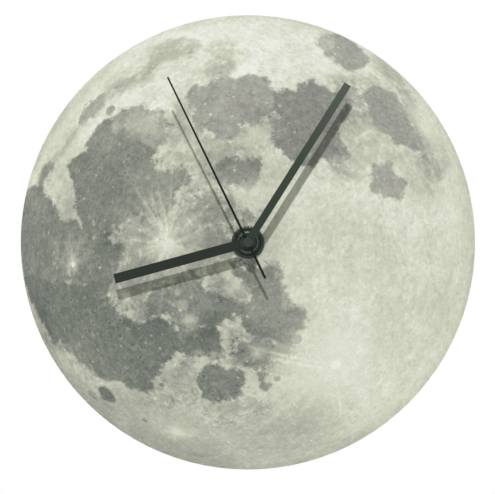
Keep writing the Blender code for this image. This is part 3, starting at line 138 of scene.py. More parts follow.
SEAS = {
    "east limb": (0.58, 2, (71, 13, 68, 7, 67, -1, 65, -9, 65, -17, 64, -22, 57, -22, 56, -16, 56, -9, 59, -1,
        61, 5, 62, 10)),
    "burg": (0.62, 1.5, (32, 47, 37, 44, 39, 38, 36, 34, 31, 36, 29, 41)),
    "central highlands": (0.47, 2, (3, 39, 11, 35, 7, 28, 7, 22, 5, 17, 1, 13, -12, 14, -15, 15, -5, 18,
        -3, 21, -8, 26, -4, 32)),
    "frigoris": (0.46, 1.25, (-56, 51, -53, 53, -46, 54, -40, 56, -25, 58, -17, 59, -9, 58, -1, 59, 10, 55,
        18, 56, 26, 57, 33, 56, 37, 53, 35, 49, 29, 48, 19, 51, 7, 52, -5, 56, -11, 56, -15, 55, -25, 55,
        -36, 52, -43, 52, -46, 51, -50, 48)),
    "roris": (0.28, 1, (-57, 49, -56, 53, -50, 54, -43, 52, -45, 49, -49, 48, -50, 46, -55, 46)),
    "insularum wide": (0.34, 1.75, (-31, 22, -25, 22, -23, 17, -15, 16, -11, 14, -6, 13, -5, 9, -9, -4,
        -12, -5, -18, -1, -32, 5, -36, 4, -43, 7, -42, 11, -39, 13, -31, 15, -30, 18)),
    "somni": (0.52, 1.5, (46, 16, 57, 8, 63, 3, 58, 2, 50, 6, 45, 6, 42, 13)),
    "nubium south": (0.36, 1.25, (-24, -19, -17, -29, -17, -32, -28, -30, -27, -22, -29, -19)),
    "humorum west": (0.38, 1.75, (-52, -10, -41, -13, -37, -15, -39, -18, -49, -22, -54, -19, -58, -15)),
    "humorum south": (0.44, 1.75, (-48, -23, -40, -31, -35, -35, -40, -39, -47, -35, -52, -28)),
    "spumans": (0.44, 1.25, (63, 2, 66, -1, 65, -4, 61, -8, 55, -10, 56, -5, 59, -1)),
    "marginis": (0.5, 1, (69, 11, 71, 8, 70, 3, 68, 0, 64, 1, 64, 6)),
    "south west limb": (0.4, 2, (-79, 18, -71, 11, -66, 1, -65, -3, -76, -5, -83, 0, -83, 9)),
    "imbrium": (0.235, 0.5, (-15, 51, -11, 49, -6, 49, -2, 46, 3, 38, 4, 35, 3, 32, -3, 33, -9, 26, -7, 23,
        -4, 23, -3, 21, -4, 19, -18, 16, -20, 17, -23, 17, -25, 19, -25, 22, -28, 23, -31, 22, -35, 23,
        -38, 27, -39, 33, -35, 42, -36, 45, -35, 47, -31, 48, -26, 46, -25, 48, -18, 51)),
    "imbrium shore": (0.34, 1, (-1, 40, 1, 35, 0, 31, -4, 29, -7, 30, -7, 35)),
    "imbrium north": (0.42, 2, (-11, 49, -2, 46, 3, 39, 3, 34, -3, 33, -6, 34, -12, 43)),
    "imbrium east": (0.3, 2, (-16, 32, -9, 28, -5, 21, -9, 18, -17, 17, -22, 19, -23, 25)),
    "procellarum north": (0.235, 0.75, (-57, 51, -50, 47, -47, 41, -46, 37, -43, 34, -40, 33, -36, 25,
        -32, 22, -30, 18, -31, 15, -39, 13, -42, 15, -56, 23, -77, 30, -76, 36, -80, 43, -78, 49, -67, 52)),
    "procellarum south": (0.195, 0.62, (-77, 32, -55, 23, -39, 13, -42, 11, -43, 7, -41, 3, -36, -1, -33, -5,
        -33, -7, -26, -13, -27, -16, -30, -19, -33, -19, -35, -16, -38, -14, -40, -11, -47, -12, -51, -11,
        -53, -13, -56, -13, -58, -11, -60, -5, -64, -3, -66, 0, -67, 5, -74, 14, -78, 28)),
    "insularum": (0.255, 1, (-36, 5, -31, 5, -22, 2, -18, -1, -21, -5, -18, -10, -15, -13, -20, -16, -23, -14,
        -27, -13, -34, -8, -33, -5, -36, -1, -39, 1)),
    "nubium east": (0.36, 0.8, (-5, -10, -3, -13, -5, -17, -6, -22, -5, -26, -8, -29, -12, -30, -18, -30,
        -20, -28, -17, -23, -11, -18)),
    "nubium": (0.26, 0.5, (-10, -5, -10, -8, -6, -8, -7, -11, -5, -12, -5, -15, -9, -21, -8, -23, -6, -24,
        -6, -26, -8, -28, -12, -29, -14, -28, -16, -29, -19, -27, -22, -21, -21, -17, -19, -14, -13, -13,
        -12, -11, -13, -6, -12, -4)),
    "humorum": (0.2, 0.38, (-42, -19, -36, -18, -34, -19, -33, -22, -31, -24, -32, -27, -38, -30, -44, -28,
        -46, -23)),
    "epidemiarum": (0.24, 0.75, (-27, -21, -25, -23, -23, -29, -29, -29, -30, -34, -32, -35, -33, -33)),
    "medii": (0.35, 1.25, (-1, 4, 1, 3, 2, 1, 0, -1, -3, 0, -3, 2)),
    "somniorum": (0.5, 1.5, (22, 40, 27, 40, 31, 38, 31, 35, 28, 32, 25, 35, 19, 38)),
    "frigoris west": (0.4, 1, (-25, 58, -20, 61, -12, 61, -7, 59, -10, 56, -23, 55)),
    "mortis": (0.5, 1.5, (28, 61, 35, 58, 37, 52, 34, 47, 27, 46, 19, 56)),
    "grimaldi": (0.165, 0.25, (-68, -3, -66, -4, -68, -8, -71, -7, -72, -6, -71, -4)),
    "haemus": (0.47, 1.5, (4, 25, 8, 22, 15, 18, 24, 17, 21, 12, 16, 10, 10, 12, 5, 16, 3, 21)),
    "serenitatis": (0.36, 0.75, (12, 37, 16, 38, 19, 36, 24, 34, 29, 30, 31, 26, 30, 22, 28, 19, 24, 16,
        21, 17, 18, 17, 14, 19, 10, 19, 7, 22, 7, 26, 9, 32)),
    "between the eastern seas": (0.56, 1.5, (36, 5, 39, 3, 44, 2, 43, -2, 45, -6, 46, -9, 49, -13, 43, -14,
        39, -10, 32, -8, 28, -7, 28, -4, 31, 2)),
    "maraldi": (0.46, 1.2, (35, 5, 39, 4, 44, 3, 44, -2, 44, -5, 40, -2, 35, 0, 32, 2)),
    "amoris": (0.42, 1.2, (45, 12, 50, 10, 49, 7, 47, 4, 43, 2, 38, 3, 36, 5, 40, 10)),
    "tranquillitatis": (0.28, 0.6, (28, 20, 31, 19, 33, 16, 36, 18, 39, 17, 41, 14, 41, 11, 43, 9, 42, 6,
        38, 4, 35, 4, 32, 2, 31, -1, 30, -4, 27, -4, 24, -3, 22, 0, 19, 2, 17, 5, 17, 10, 19, 14, 21, 17,
        24, 16)),
    "asperitatis": (0.47, 1.5, (24, -2, 29, -4, 29, -7, 27, -10, 23, -9, 22, -5)),
    "fecunditatis": (0.33, 0.8, (50, 6, 55, 5, 59, 2, 58, -2, 56, -7, 55, -10, 57, -13, 56, -17, 53, -15,
        50, -12, 46, -9, 44, -5, 43, -2, 46, 2)),
    "fecunditatis south": (0.5, 1.2, (56, -13, 59, -16, 56, -22, 51, -22, 51, -18, 51, -14)),
    "nectaris": (0.4, 0.9, (33, -9, 36, -9, 39, -12, 39, -15, 40, -18, 36, -20, 33, -19, 31, -17, 29, -14,
        32, -12)),
    "crisium": (0.38, 0.5, (58, 24, 65, 24, 72, 22, 69, 18, 68, 15, 63, 11, 57, 10, 52, 12, 52, 16, 52, 20)),
    "vaporum": (0.31, 1, (2, 17, 5, 16, 9, 14, 11, 11, 11, 9, 9, 8, 5, 7, 3, 9, 0, 11, -1, 14)),
    "aestuum": (0.37, 1.2, (-8, 16, -3, 13, 0, 8, -1, 5, -4, 7, -8, 12)),
    "sinus medii": (0.42, 1.5, (-6, 10, -3, 7, -1, 4, -4, 1, -8, 3, -9, 7)),
    "putredinis": (0.28, 0.6, (-7, 23, -4, 23, -3, 21, -4, 19, -7, 17, -9, 19, -9, 21)),
}

# Bright ground over the seas: lightness, strength, width of the shore, outline

BRIGHT_GROUND = {
    "aristarchus apron": (0.36, 0.7, 2.25, (-50, 33, -43, 30, -39, 24, -41, 21, -47, 19, -53, 22, -54, 27)),
    "vallis": (0.46, 0.8, 0.62, (-49, 26, -47, 25, -46, 23, -48, 22, -51, 21, -51, 23)),
    "apennine foot": (0.62, 0.4, 2.5, (0, 12, 5, 7, 9, 7, 11, 4, 4, 1, 0, 3, -2, 7)),
    "roris shore": (0.62, 0.95, 0.6, (-51, 50, -45, 51, -40, 49, -36, 46, -37, 43, -38, 39, -38, 36, -43, 37,
        -47, 40, -50, 44)),
    "apennines": (0.62, 0.95, 0.8, (-7, 30, -2, 29, 2, 26, 2, 23, 0, 20, -3, 18, -3, 14, -5, 13, -7, 15,
        -4, 18, -2, 22, -4, 24, -8, 25, -9, 28)),
    "haemus wisps": (0.58, 0.85, 0.8, (3, 22, 7, 21, 12, 17, 17, 16, 23, 16, 21, 13, 15, 13, 12, 13, 9, 16,
        5, 19)),
    "aestuum shore": (0.5, 0.7, 0.8, (-3, 15, 0, 12, 4, 10, 6, 7, 3, 6, 0, 8, -2, 13)),
    "copernicus apron": (0.44, 0.8, 2, (-24, 23, -19, 22, -14, 19, -10, 15, -8, 9, -9, 4, -15, 4, -25, 8,
        -29, 14, -29, 20)),
    "reinhold": (0.44, 0.9, 0.6, (-38, 7, -35, 6, -35, 3, -38, 0, -40, 2, -40, 4)),
    "fra mauro": (0.44, 0.9, 1, (-19, 0, -15, -2, -13, -6, -12, -11, -14, -14, -17, -12, -18, -8, -20, -4)),
    "riphaeus": (0.42, 0.9, 0.6, (-31, 0, -30, -2, -27, -3, -27, -6, -28, -10, -30, -10, -31, -7, -31, -4)),
    "guericke": (0.4, 0.9, 0.7, (-26, -13, -23, -14, -22, -17, -22, -20, -25, -21, -26, -18, -28, -15)),
    "wolf": (0.4, 0.9, 0.7, (-33, -16, -29, -17, -27, -21, -27, -24, -30, -24, -33, -21)),
    "herigonius": (0.38, 0.9, 0.6, (-39, -13, -34, -14, -34, -17, -37, -18, -40, -16)),
    "mersenius": (0.54, 0.9, 1, (-53, -11, -47, -11, -42, -12, -39, -14, -38, -17, -40, -19, -44, -20,
        -48, -22, -52, -20, -55, -16, -55, -13)),
    "crisium north": (0.55, 0.8, 0.8, (57, 25, 68, 25, 67, 22, 57, 20, 52, 20)),
    "cruger": (0.54, 0.8, 1.2, (-70, 12, -66, 6, -66, -1, -66, -5, -72, -5, -73, 1, -73, 7)),
}

# Craters with rays: longitude, latitude, lightness, reach of the apron and of the rays in degrees,
# strength, number of rays, seed

RAYED_CRATERS = {
    "tycho": (-11.2, -43.3, 0.76, 7, 60, 0.6, 34, 4),
    "copernicus": (-20.1, 9.7, 0.78, 3.1, 17, 1, 60, 7),
    "kepler": (-38, 8.1, 0.72, 0.9, 9, 0.9, 24, 9),
    "aristarchus": (-47.4, 23.7, 0.74, 0.9, 8, 0.5, 24, 12),
    "proclus": (46.8, 16.1, 0.78, 1.5, 12, 0.5, 9, 15),
    "anaxagoras": (-10.1, 73.4, 0.74, 3, 20, 0.5, 12, 18),
    "langrenus": (61.1, -8.9, 0.72, 3.5, 12, 0.5, 12, 21),
    "stevinus": (54.2, -32.5, 0.76, 2.5, 22, 0.45, 12, 24),
    "menelaus": (16, 16.3, 0.62, 1, 5, 0.4, 8, 27),
    "bullialdus b": (-24, -25, 0.55, 1, 5, 0.3, 8, 29),
    "euclides": (-29.5, -7.4, 0.55, 1, 4, 0.3, 8, 31),
    "olbers": (-75.9, 7.4, 0.5, 2, 18, 0.4, 10, 33),
    "byrgius": (-63.7, -24.5, 0.68, 2, 14, 0.45, 10, 35),
    "thales": (50.3, 61.7, 0.8, 2, 14, 0.4, 10, 37),
}

# Rays that stand out: where each starts and ends, half its width in degrees, strength

PLAIN_RAYS = {
    "tycho to bullialdus": ((-13.2, -40.5), (-25.1, -19.4), 0.35, 0.5),
    "tycho to kies": ((-14, -42.1), (-22.7, -28.1), 0.45, 0.8),
    "tycho to scheiner": ((-16.6, -47.9), (-30.2, -59.4), 0.5, 0.7),
    "copernicus to imbrium": ((-19, 12.1), (-16.9, 30), 0.25, 0.34),
    "copernicus to timocharis": ((-19.1, 13.1), (-14, 26.4), 0.2, 0.22),
    "copernicus to conon": ((-15.3, 13.1), (-1.2, 22), 0.3, 0.28),
    "copernicus to archimedes": ((-16.1, 13.8), (-7.1, 23.1), 0.25, 0.25),
    "copernicus beside euler": ((-20.6, 13.5), (-27, 26.9), 0.25, 0.22),
    "copernicus to euler": ((-22.4, 12.3), (-31.7, 22.1), 0.25, 0.28),
}

# Craters with rims: longitude, latitude, radius, lightness of the floor if it has one of its
# own, and what the rim adds

RINGED_CRATERS = {
    "tycho": (-11.2, -43.3, 2.7, None, -0.05),
    "tycho floor": (-11.2, -43.3, 1.4, 0.84, 0),
    "copernicus floor": (-20.1, 9.7, 1.4, 0.8, 0.02),
    "aristarchus floor": (-47.4, 23.7, 0.6, 0.86, 0.1),
    "plato": (-9.4, 51.6, 1.5, 0.33, 0.1),
    "archimedes": (-4, 29.7, 1.3, None, 0.08),
    "eratosthenes": (-11.3, 14.5, 0.95, None, 0.1),
    "grimaldi": (-68.3, -5.5, 2.9, 0.17, 0.05),
    "riccioli": (-74.5, -3, 2.2, 0.3, 0.05),
    "schickard": (-55.3, -44.3, 3.2, None, 0.06),
    "bullialdus": (-22.2, -20.7, 1, 0.4, 0.14),
    "pitatus": (-13.5, -29.9, 1.5, 0.46, 0.05),
    "posidonius": (29.9, 31.8, 1.5, None, 0.08),
    "fracastorius": (33.2, -21.5, 2, None, 0.06),
    "langrenus": (61.1, -8.9, 2.1, None, 0.08),
    "petavius": (60.4, -25.1, 2.9, None, 0.06),
    "cleomedes": (56, 27.7, 2.1, None, 0.06),
    "macrobius": (46, 21.3, 1.05, None, 0.08),
    "endymion": (57, 53.9, 2, None, 0.05),
    "atlas": (44.4, 46.7, 1.4, None, 0.06),
    "hercules": (39.1, 46.7, 1.1, None, 0.06),
    "aristoteles": (17.4, 50.2, 1.4, None, 0.08),
    "eudoxus": (16.3, 44.3, 1.1, None, 0.08),
    "campanus": (-27.8, -28, 0.8, 0.26, 0.16),
    "mercator": (-26.1, -29.3, 0.8, 0.26, 0.14),
    "billy": (-50.1, -13.8, 0.8, 0.19, 0.08),
    "cruger": (-66.8, -16.7, 0.8, 0.2, 0.05),
    "letronne": (-42.5, -10.8, 1.9, None, 0.08),
    "flamsteed": (-44, -3.5, 1.7, None, 0.07),
    "lansberg": (-26.6, -0.3, 0.65, 0.4, 0.12),
    "reinhold": (-22.8, 3.3, 0.8, 0.45, 0.1),
    "manilius": (9.1, 14.5, 0.65, None, 0.18),
    "plinius": (23.7, 15.4, 0.7, 0.4, 0.12),
    "autolycus": (1.5, 30.7, 0.65, None, 0.1),
    "aristillus": (1.2, 33.9, 0.9, None, 0.1),
    "timocharis": (-13.1, 26.7, 0.55, 0.4, 0.14),
    "lambert": (-21, 25.8, 0.5, 0.3, 0.1),
    "pytheas": (-20.6, 20.5, 0.4, 0.5, 0.14),
    "euler": (-29.2, 23.3, 0.5, 0.38, 0.14),
    "diophantus": (-34.3, 27.6, 0.4, 0.38, 0.12),
    "delisle": (-34.6, 29.9, 0.5, 0.32, 0.1),
    "marius": (-50.8, 11.9, 0.7, 0.24, 0.05),
    "reiner": (-54.9, 7, 0.5, 0.34, 0.1),
    "milichius": (-30.2, 10, 0.3, 0.6, 0.14),
    "encke": (-36.6, 4.6, 0.5, 0.44, 0.1),
    "darney": (-23.5, -14.5, 0.35, 0.55, 0.16),
    "agatharchides": (-30.9, -19.8, 0.8, 0.3, 0.07),
    "vitello": (-37.5, -30.4, 0.8, 0.34, 0.07),
    "doppelmayer": (-41.4, -28.5, 1, 0.28, 0.06),
    "tiber": (-11.5, -26.9, 0.4, 0.3, 0.1),
    "mairan": (-43.4, 41.6, 0.7, 0.44, 0.06),
    "sharp": (-40.2, 45.7, 0.7, 0.46, 0.06),
    "bianchini": (-34.3, 48.7, 0.6, 0.5, 0.06),
    "piazzi smyth": (-3.2, 41.9, 0.25, 0.6, 0.16),
    "linne": (11.8, 27.7, 0.3, 0.62, 0.3),
    "bessel": (17.9, 21.8, 0.3, 0.5, 0.14),
    "dawes": (26.4, 17.2, 0.35, 0.42, 0.12),
    "taruntius": (46.5, 5.6, 1, 0.4, 0.1),
    "goclenius": (45, -10, 1.1, None, 0.08),
    "gutenberg": (41.2, -8.6, 1.2, None, 0.06),
    "colombo": (45.8, -15.1, 1.3, None, 0.06),
    "picard": (54.7, 14.6, 0.4, 0.44, 0.1),
    "condorcet": (69.6, 12.1, 1.2, None, 0.06),
    "firmicus": (63.4, 7.3, 0.9, None, 0.06),
    "inghirami": (-68.8, -47.5, 1.4, None, 0.04),
    "hainzel": (-33.5, -41.3, 1.2, None, 0.05),
    "capuanus": (-26.7, -34.1, 1, 0.36, 0.06),
}

# Soft shades: longitude, latitude, reach in degrees, and the share by which lightness changes

SHADES = {
    "ptolemaeus": (0, -7, 7, -0.1),
    "regiomontanus": (-4, -32, 7, -0.1),
    "reinhold": (-24, 1, 4, -0.16),
    "fra mauro": (-17, -7, 5.5, -0.3),
    "lansberg west": (-38, 3, 5, -0.26),
    "cognitum north": (-34, -3, 4, -0.2),
    "nubium west": (-28, -11, 4.5, -0.26),
    "bullialdus": (-23, -17, 5, -0.36),
    "kies": (-26, -22, 4.5, -0.34),
    "sinus aestuum": (-5, 6, 5, -0.32),
    "menelaus": (20, 18, 3.5, -0.24),
    "ariadaeus": (10, 8, 4.5, -0.2),
    "haemus": (6, 16, 4.5, -0.2),
    "copernicus east": (-16, 6, 4.5, -0.26),
    "gassendi": (-41, -14, 5, -0.26),
    "gruithuisen": (-39, 37, 3.5, -0.24),
    "langrenus": (56, -9, 3.5, -0.28),
    "euler west": (-32, 21, 4, -0.26),
    "euler east": (-22, 17, 5, -0.2),
    "santbech": (48, -20, 8, -0.24),
    "pitatus": (-19, -25, 4.5, -0.28),
    "capuanus": (-27, -30, 4.5, -0.28),
    "hainzel": (-31, -48, 10, -0.2),
    "schiller": (-46, -49, 10, -0.2),
    "mersenius": (-48, -17, 4.5, -0.16),
    "marius": (-46, 22, 4.5, -0.2),
    "galilaei": (-75, 19, 7, -0.3),
    "goldschmidt": (-12, 70, 6, -0.2),
    "pythagoras": (-41, 67, 6, -0.12),
    "frigoris north": (1, 61, 4, -0.16),
    "laplace": (-17, 45, 5.5, 0.24),
    "cassini": (1, 38, 5, 0.24),
    "endymion": (41, 68, 8, 0.12),
    "hercules": (36, 51, 5, 0.16),
    "posidonius": (30, 31, 2.5, 0.3),
    "repsold": (-65, 52, 6, 0.2),
    "harding": (-60, 41, 6, 0.14),
    "vieta": (-55, -27, 7, 0.16),
    "darwin": (-65, -23, 5, 0.14),
    "hevelius": (-64, 5, 4, 0.24),
    "damoiseau": (-61, -6, 4, 0.16),
    "lippershey": (-15, -18, 4, 0.18),
    "werner": (1, -32, 8, 0.1),
}

# Painting the Moon


def lattice_noise(points, frequency, seed, octaves, gain=0.5):
    """Smooth noise at points of space, spread to about -1 to 1."""
    side, spread = 32, 1.6
    total = np.zeros(len(points))
    size, sizes = 1.0, 0.0
    for octave in range(octaves):
        lattice = np.random.default_rng(seed + 31 * octave).uniform(-1, 1, (side, side, side))
        place = points * frequency * 2 ** octave + 7.3 * (octave + 1)
        cell = np.floor(place).astype(int)
        part = place - cell
        part = part ** 3 * (part * (6 * part - 15) + 10)
        value = np.zeros(len(points))
        for corner in np.ndindex(2, 2, 2):
            share = np.prod(np.where(corner, part, 1 - part), axis=1)
            x, y, z = ((cell + corner) % side).T
            value += share * lattice[x, y, z]
        total += value * size
        sizes += size
        size *= gain
    return total / sizes * spread


def smooth_step(value, low, high):
    t = np.clip((value - low) / (high - low), 0, 1)
    return t * t * (3 - 2 * t)


def bell(value, width):
    return np.exp(-(value / width) ** 2)


def turn(angle, first, second):
    """The matrix that turns one axis towards another."""
    matrix = np.eye(3)
    matrix[first, first] = matrix[second, second] = math.cos(angle)
    matrix[first, second], matrix[second, first] = -math.sin(angle), math.sin(angle)
    return matrix


# From the Moon's own axes, which point east, north and towards the Earth, to the dial's

TURNING = turn(MOON_TURN, 0, 1) @ turn(NORTH_NOD, 1, 2) @ turn(EAST_NOD, 2, 0)


def direction(longitude, latitude):
    a, b = np.radians(longitude), np.radians(latitude)
    return np.stack([np.cos(b) * np.sin(a), np.sin(b), np.cos(b) * np.cos(a)], -1)


def on_moon(face):
    """Points of the dial, in shares of its radius, as directions from the Moon's centre."""
    flat = face / MOON_OVER_DIAL
    depth = np.sqrt(np.clip(1 - (flat ** 2).sum(1), 1e-4, 1))
    return np.column_stack([flat, depth]) @ TURNING


def on_face(directions):
    return (directions @ TURNING.T)[..., :2] * MOON_OVER_DIAL


def depth_inside(points, outline):
    """Distance of points from a closed outline, positive inside it."""
    nearest = np.full(len(points), np.inf)
    within = np.zeros(len(points), bool)
    for a, b in zip(outline, np.roll(outline, -1, axis=0)):
        side = b - a
        share = np.clip((points - a) @ side / (side @ side), 0, 1)
        nearest = np.minimum(nearest, ((points - a - share[:, None] * side) ** 2).sum(1))
        if a[1] != b[1]:
            crosses = (a[1] > points[:, 1]) != (b[1] > points[:, 1])
            crossing = a[0] + (points[:, 1] - a[1]) / side[1] * side[0]
            within ^= crosses & (points[:, 0] < crossing)
    return np.where(within, 1, -1) * np.sqrt(nearest)


class Moon:
    """Lightness of the Moon's face at points of the dial, painted by the steps that paint() lists."""

    def __init__(self, face):
        self.face = face
        self.sphere = on_moon(face)
        self.broad = lattice_noise(self.sphere, 3, 40, 2)
        self.patchy = lattice_noise(self.sphere, 11, 41, 3, 0.6)
        self.fine = lattice_noise(self.sphere, 34, 42, 3, 0.7)
        self.grit = lattice_noise(self.sphere, 75, 43, 2, 0.8)
        bays = np.column_stack([lattice_noise(self.sphere, 9, 5 + k, 3, 0.6) for k in range(3)])
        moved = self.sphere + 0.02 * bays
        self.coast = on_face(moved / np.linalg.norm(moved, axis=1)[:, None])
        self.lift = 0.3 + 0.7 * np.sqrt(np.clip(1 - (face ** 2).sum(1) / MOON_OVER_DIAL ** 2, 0, 1))
        self.islands = lattice_noise(self.sphere, 22, 44, 5, 0.72)
        self.light = np.full(len(face), HIGHLAND)
        self.flooded = np.zeros(len(face))

    def blend(self, lightness, share, near=slice(None)):
        self.light[near] = self.light[near] * (1 - share) + lightness * share

    def around(self, longitude, latitude, reach):
        """The points within reach degrees of a place, their distances in degrees and their bearings."""
        a = math.radians(longitude)
        centre = direction(longitude, latitude)
        east = np.array([math.cos(a), 0, -math.sin(a)])
        north = np.cross(centre, east)
        near = np.flatnonzero(self.sphere @ centre > math.cos(math.radians(min(reach, 180))))
        seen = self.sphere[near]
        away = np.degrees(np.arccos(np.clip(seen @ centre, -1, 1)))
        return near, away, np.arctan2(seen @ east, seen @ north)

    def highlands(self):
        """Mottled, lighter towards the top of the dial and darker at its foot and left."""
        across, up = self.face.T
        self.light += 0.05 * self.broad + 0.05 * self.patchy
        self.light += 0.1 * smooth_step(up, 0.35, 1.0)
        self.light -= 0.17 * smooth_step(-up - 0.25 * across, 0.5, 0.95)
        self.light -= 0.12 * smooth_step(-across - 0.7 * up, 0.35, 0.95)

    def covered(self, outline, shore, raggedness):
        """How far the ground inside an outline covers each point: crisper where its shore is narrow."""
        corners = on_face(direction(*np.array(outline, float).reshape(-1, 2).T))
        depth = depth_inside(self.coast, corners)
        width = (0.01 + 1.2 * math.radians(shore)) * self.lift
        depth += raggedness * (0.008 + 0.85 * width) * self.islands * self.lift
        crisp = width * (0.45 if shore < 1.2 else 0.9)
        return smooth_step(depth, -crisp, crisp)

    def seas(self):
        for lightness, shore, outline in SEAS.values():
            share = self.covered(outline, shore, 1.0)
            if shore > 1:
                share *= 1 - 0.5 * smooth_step(self.fine + 0.5 * self.patchy, 0.5, 1.0)
            self.blend(lightness * (1 + 0.1 * self.patchy + 0.07 * self.fine), share)
            if lightness < 0.45:
                self.flooded = np.maximum(self.flooded, share)

    def bright_ground(self):
        for lightness, strength, shore, outline in BRIGHT_GROUND.values():
            share = self.covered(outline, shore, 1.2) * strength
            share *= smooth_step(0.2 + 1.1 * self.islands + 0.5 * self.fine, -0.35, 0.65)
            self.blend(lightness, share)

    def shades(self):
        for longitude, latitude, reach, change in SHADES.values():
            near, away, _ = self.around(longitude, latitude, 2.5 * reach)
            spread = bell(away, reach) * (1 + 0.6 * self.islands[near])
            self.light[near] *= 1 + change * spread

    def roughness(self):
        self.light *= 1 + 0.16 * self.fine * (0.4 + self.shore()) + 0.11 * self.grit

    def rays(self):
        """Bright craters, each with a core, a halo and random rays that fade where they cross a sea."""
        for longitude, latitude, lightness, apron, reach, power, count, seed in RAYED_CRATERS.values():
            random = np.random.default_rng(seed)
            near, away, bearing = self.around(longitude, latitude, reach * 2)
            rough, wisps = self.patchy[near], self.islands[near]
            streaks = np.zeros(len(near))
            for _ in range(count):
                turned = bearing - random.uniform(0, 2 * math.pi)
                length = reach * random.uniform(0.25, 1.0)
                width = random.uniform(0.15, 0.6) * (0.4 + 0.02 * reach)
                strength = random.uniform(0.3, 1)
                bend = random.uniform(-0.4, 0.4)
                start = apron * random.uniform(0.2, 1.8)
                aside = np.degrees(np.sin(turned + bend * away / reach) * np.sin(np.radians(away)))
                aside += 0.7 * rough * away / reach
                fade = np.exp(-away / (0.7 * length)) * smooth_step(away, 0.5 * start, 1.5 * start)
                fade *= 1 - smooth_step(away, length, 1.5 * length)
                streak = bell(aside, width) * (np.cos(turned) > 0)
                streaks = np.maximum(streaks, fade * streak * strength)
            streaks *= 1 - 0.7 * self.flooded[near] * smooth_step(away, 12, 20)
            core = np.exp(-(away * (1 + 0.3 * rough) / apron) ** 1.4)
            halo = 0.45 * bell(away, 2.2 * apron) * np.clip(0.7 + 0.9 * wisps, 0, 1)
            rays = streaks * power * np.clip(0.8 + 0.9 * wisps, 0.1, 1.3)
            share = np.clip(0.8 * core + halo + rays, 0, 0.95)
            self.blend(np.maximum(lightness, self.light[near]), share, near)

    def plain_rays(self):
        """Rays along great circles, each a bell across, which fade over their outer half."""
        for start, end, width, strength in PLAIN_RAYS.values():
            a, b = direction(*start), direction(*end)
            pole = np.cross(a, b) / np.linalg.norm(np.cross(a, b))
            aside = np.degrees(np.arcsin(self.sphere @ pole)) + 0.25 * self.patchy
            along = np.degrees(np.arctan2(self.sphere @ np.cross(pole, a), self.sphere @ a))
            length = math.degrees(math.acos(a @ b))
            share = bell(aside, width) * smooth_step(along, -1, 2)
            share *= strength * (1 - smooth_step(along, 0.5 * length, 1.1 * length))
            self.blend(PLAIN_RAY, share * np.clip(0.8 + 0.8 * self.islands, 0.2, 1))

    def rings(self):
        for longitude, latitude, radius, floor, rim in RINGED_CRATERS.values():
            near, away, _ = self.around(longitude, latitude, 2 * radius + 1)
            away = away * (1 + 0.06 * self.patchy[near])
            edge = bell(away - 1.08 * radius, 0.16 * radius + 0.1)
            if floor is not None:
                share = 0.85 * smooth_step(-away, -1.02 * radius, -0.82 * radius)
                self.blend(floor * (1 + 0.08 * self.fine[near]), share, near)
            self.light[near] += rim * edge * (0.7 + 0.5 * self.fine[near])

    def pits(self):
        """Small nameless craters."""
        random = np.random.default_rng(77)
        for _ in range(PITS):
            latitude = math.degrees(math.asin(random.uniform(-1, 1)))
            longitude = random.uniform(-90, 90)
            radius = 0.35 * random.uniform(0.12, 1) ** -0.8
            rim, floor = random.uniform(0.01, 0.06), random.uniform(-0.02, 0.05)
            near, away, _ = self.around(longitude, latitude, 2 * radius + 0.5)
            hollow = smooth_step(-away, -radius, -0.6 * radius)
            self.light[near] *= 1 + rim * bell(away - radius, 0.2 * radius + 0.08) - floor * hollow

    def specks(self):
        """Young craters, which show as white specks."""
        random = np.random.default_rng(78)
        for _ in range(SPECKS):
            latitude = math.degrees(math.asin(random.uniform(-0.85, 0.95)))
            longitude = random.uniform(-75, 65)
            gain, radius = random.uniform(0.05, 0.22), random.uniform(0.16, 0.34)
            near, away, _ = self.around(longitude, latitude, 1.5)
            gain *= 1 - 0.75 * smooth_step(self.light[near], 0.5, 0.68)
            self.light[near] += gain * bell(away, radius)

    def limb(self):
        rim = smooth_step((self.face ** 2).sum(1), 0.93, 1.0)
        self.light *= 1 - 0.16 * rim * (0.6 + 0.6 * self.fine)

    def violet(self):
        """How far the ink of a point leans to violet, as it does in the eastern seas."""
        return 0.55 * self.flooded * smooth_step(self.sphere[:, 0], 0.0, 0.3)

    def shore(self):
        """1 where a sea gives way to the land, and 0 well away from there."""
        return 4 * self.flooded * (1 - self.flooded)

    def paint(self):
        self.highlands()
        self.seas()
        self.bright_ground()
        self.shades()
        self.roughness()
        self.rays()
        self.plain_rays()
        self.rings()
        self.pits()
        self.specks()
        self.limb()
        return np.clip(self.light, DARKEST, LIGHTEST)


# Meshes


def turns(count):
    """Angles spread evenly round a full turn."""
    return [2 * math.pi * k / count for k in range(count)]


def bore(node):
    """The smallest distance of a node's points from the clock's axis."""
    return min(math.hypot(v.co.x, v.co.z) for v in nodes[node].data.vertices)


def bridge(a, b):
    """Faces between two closed rings of vertex numbers, each evenly spaced from the same bearing."""
    faces = []
    i = j = 0
    while i < len(a) or j < len(b):
        if j < len(b) and (i == len(a) or (j + 0.5) * len(a) < (i + 0.5) * len(b)):
            faces.append((a[i % len(a)], b[j], b[(j + 1) % len(b)]))
            j += 1
        else:
            faces.append((a[i], b[j % len(b)], a[(i + 1) % len(a)]))
            i += 1
    return faces


def new_object(name, data):
    obj = bpy.data.objects.new(name, data)
    bpy.context.scene.collection.objects.link(obj)
    return obj


def new_mesh(name, vertices, faces, finish):
    mesh = bpy.data.meshes.new(name)
    mesh.from_pydata(vertices, [], faces)
    mesh.validate()
    mesh.materials.append(finish)
    return new_object(name, mesh)


def stand_in(name, vertices, faces, node, body, slot):
    """A new piece on a body, in place of a CAD node and in its finish."""
    piece = new_mesh(name, vertices, faces, nodes[node].data.materials[0])
    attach(piece, body)
    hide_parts(node)
    return piece


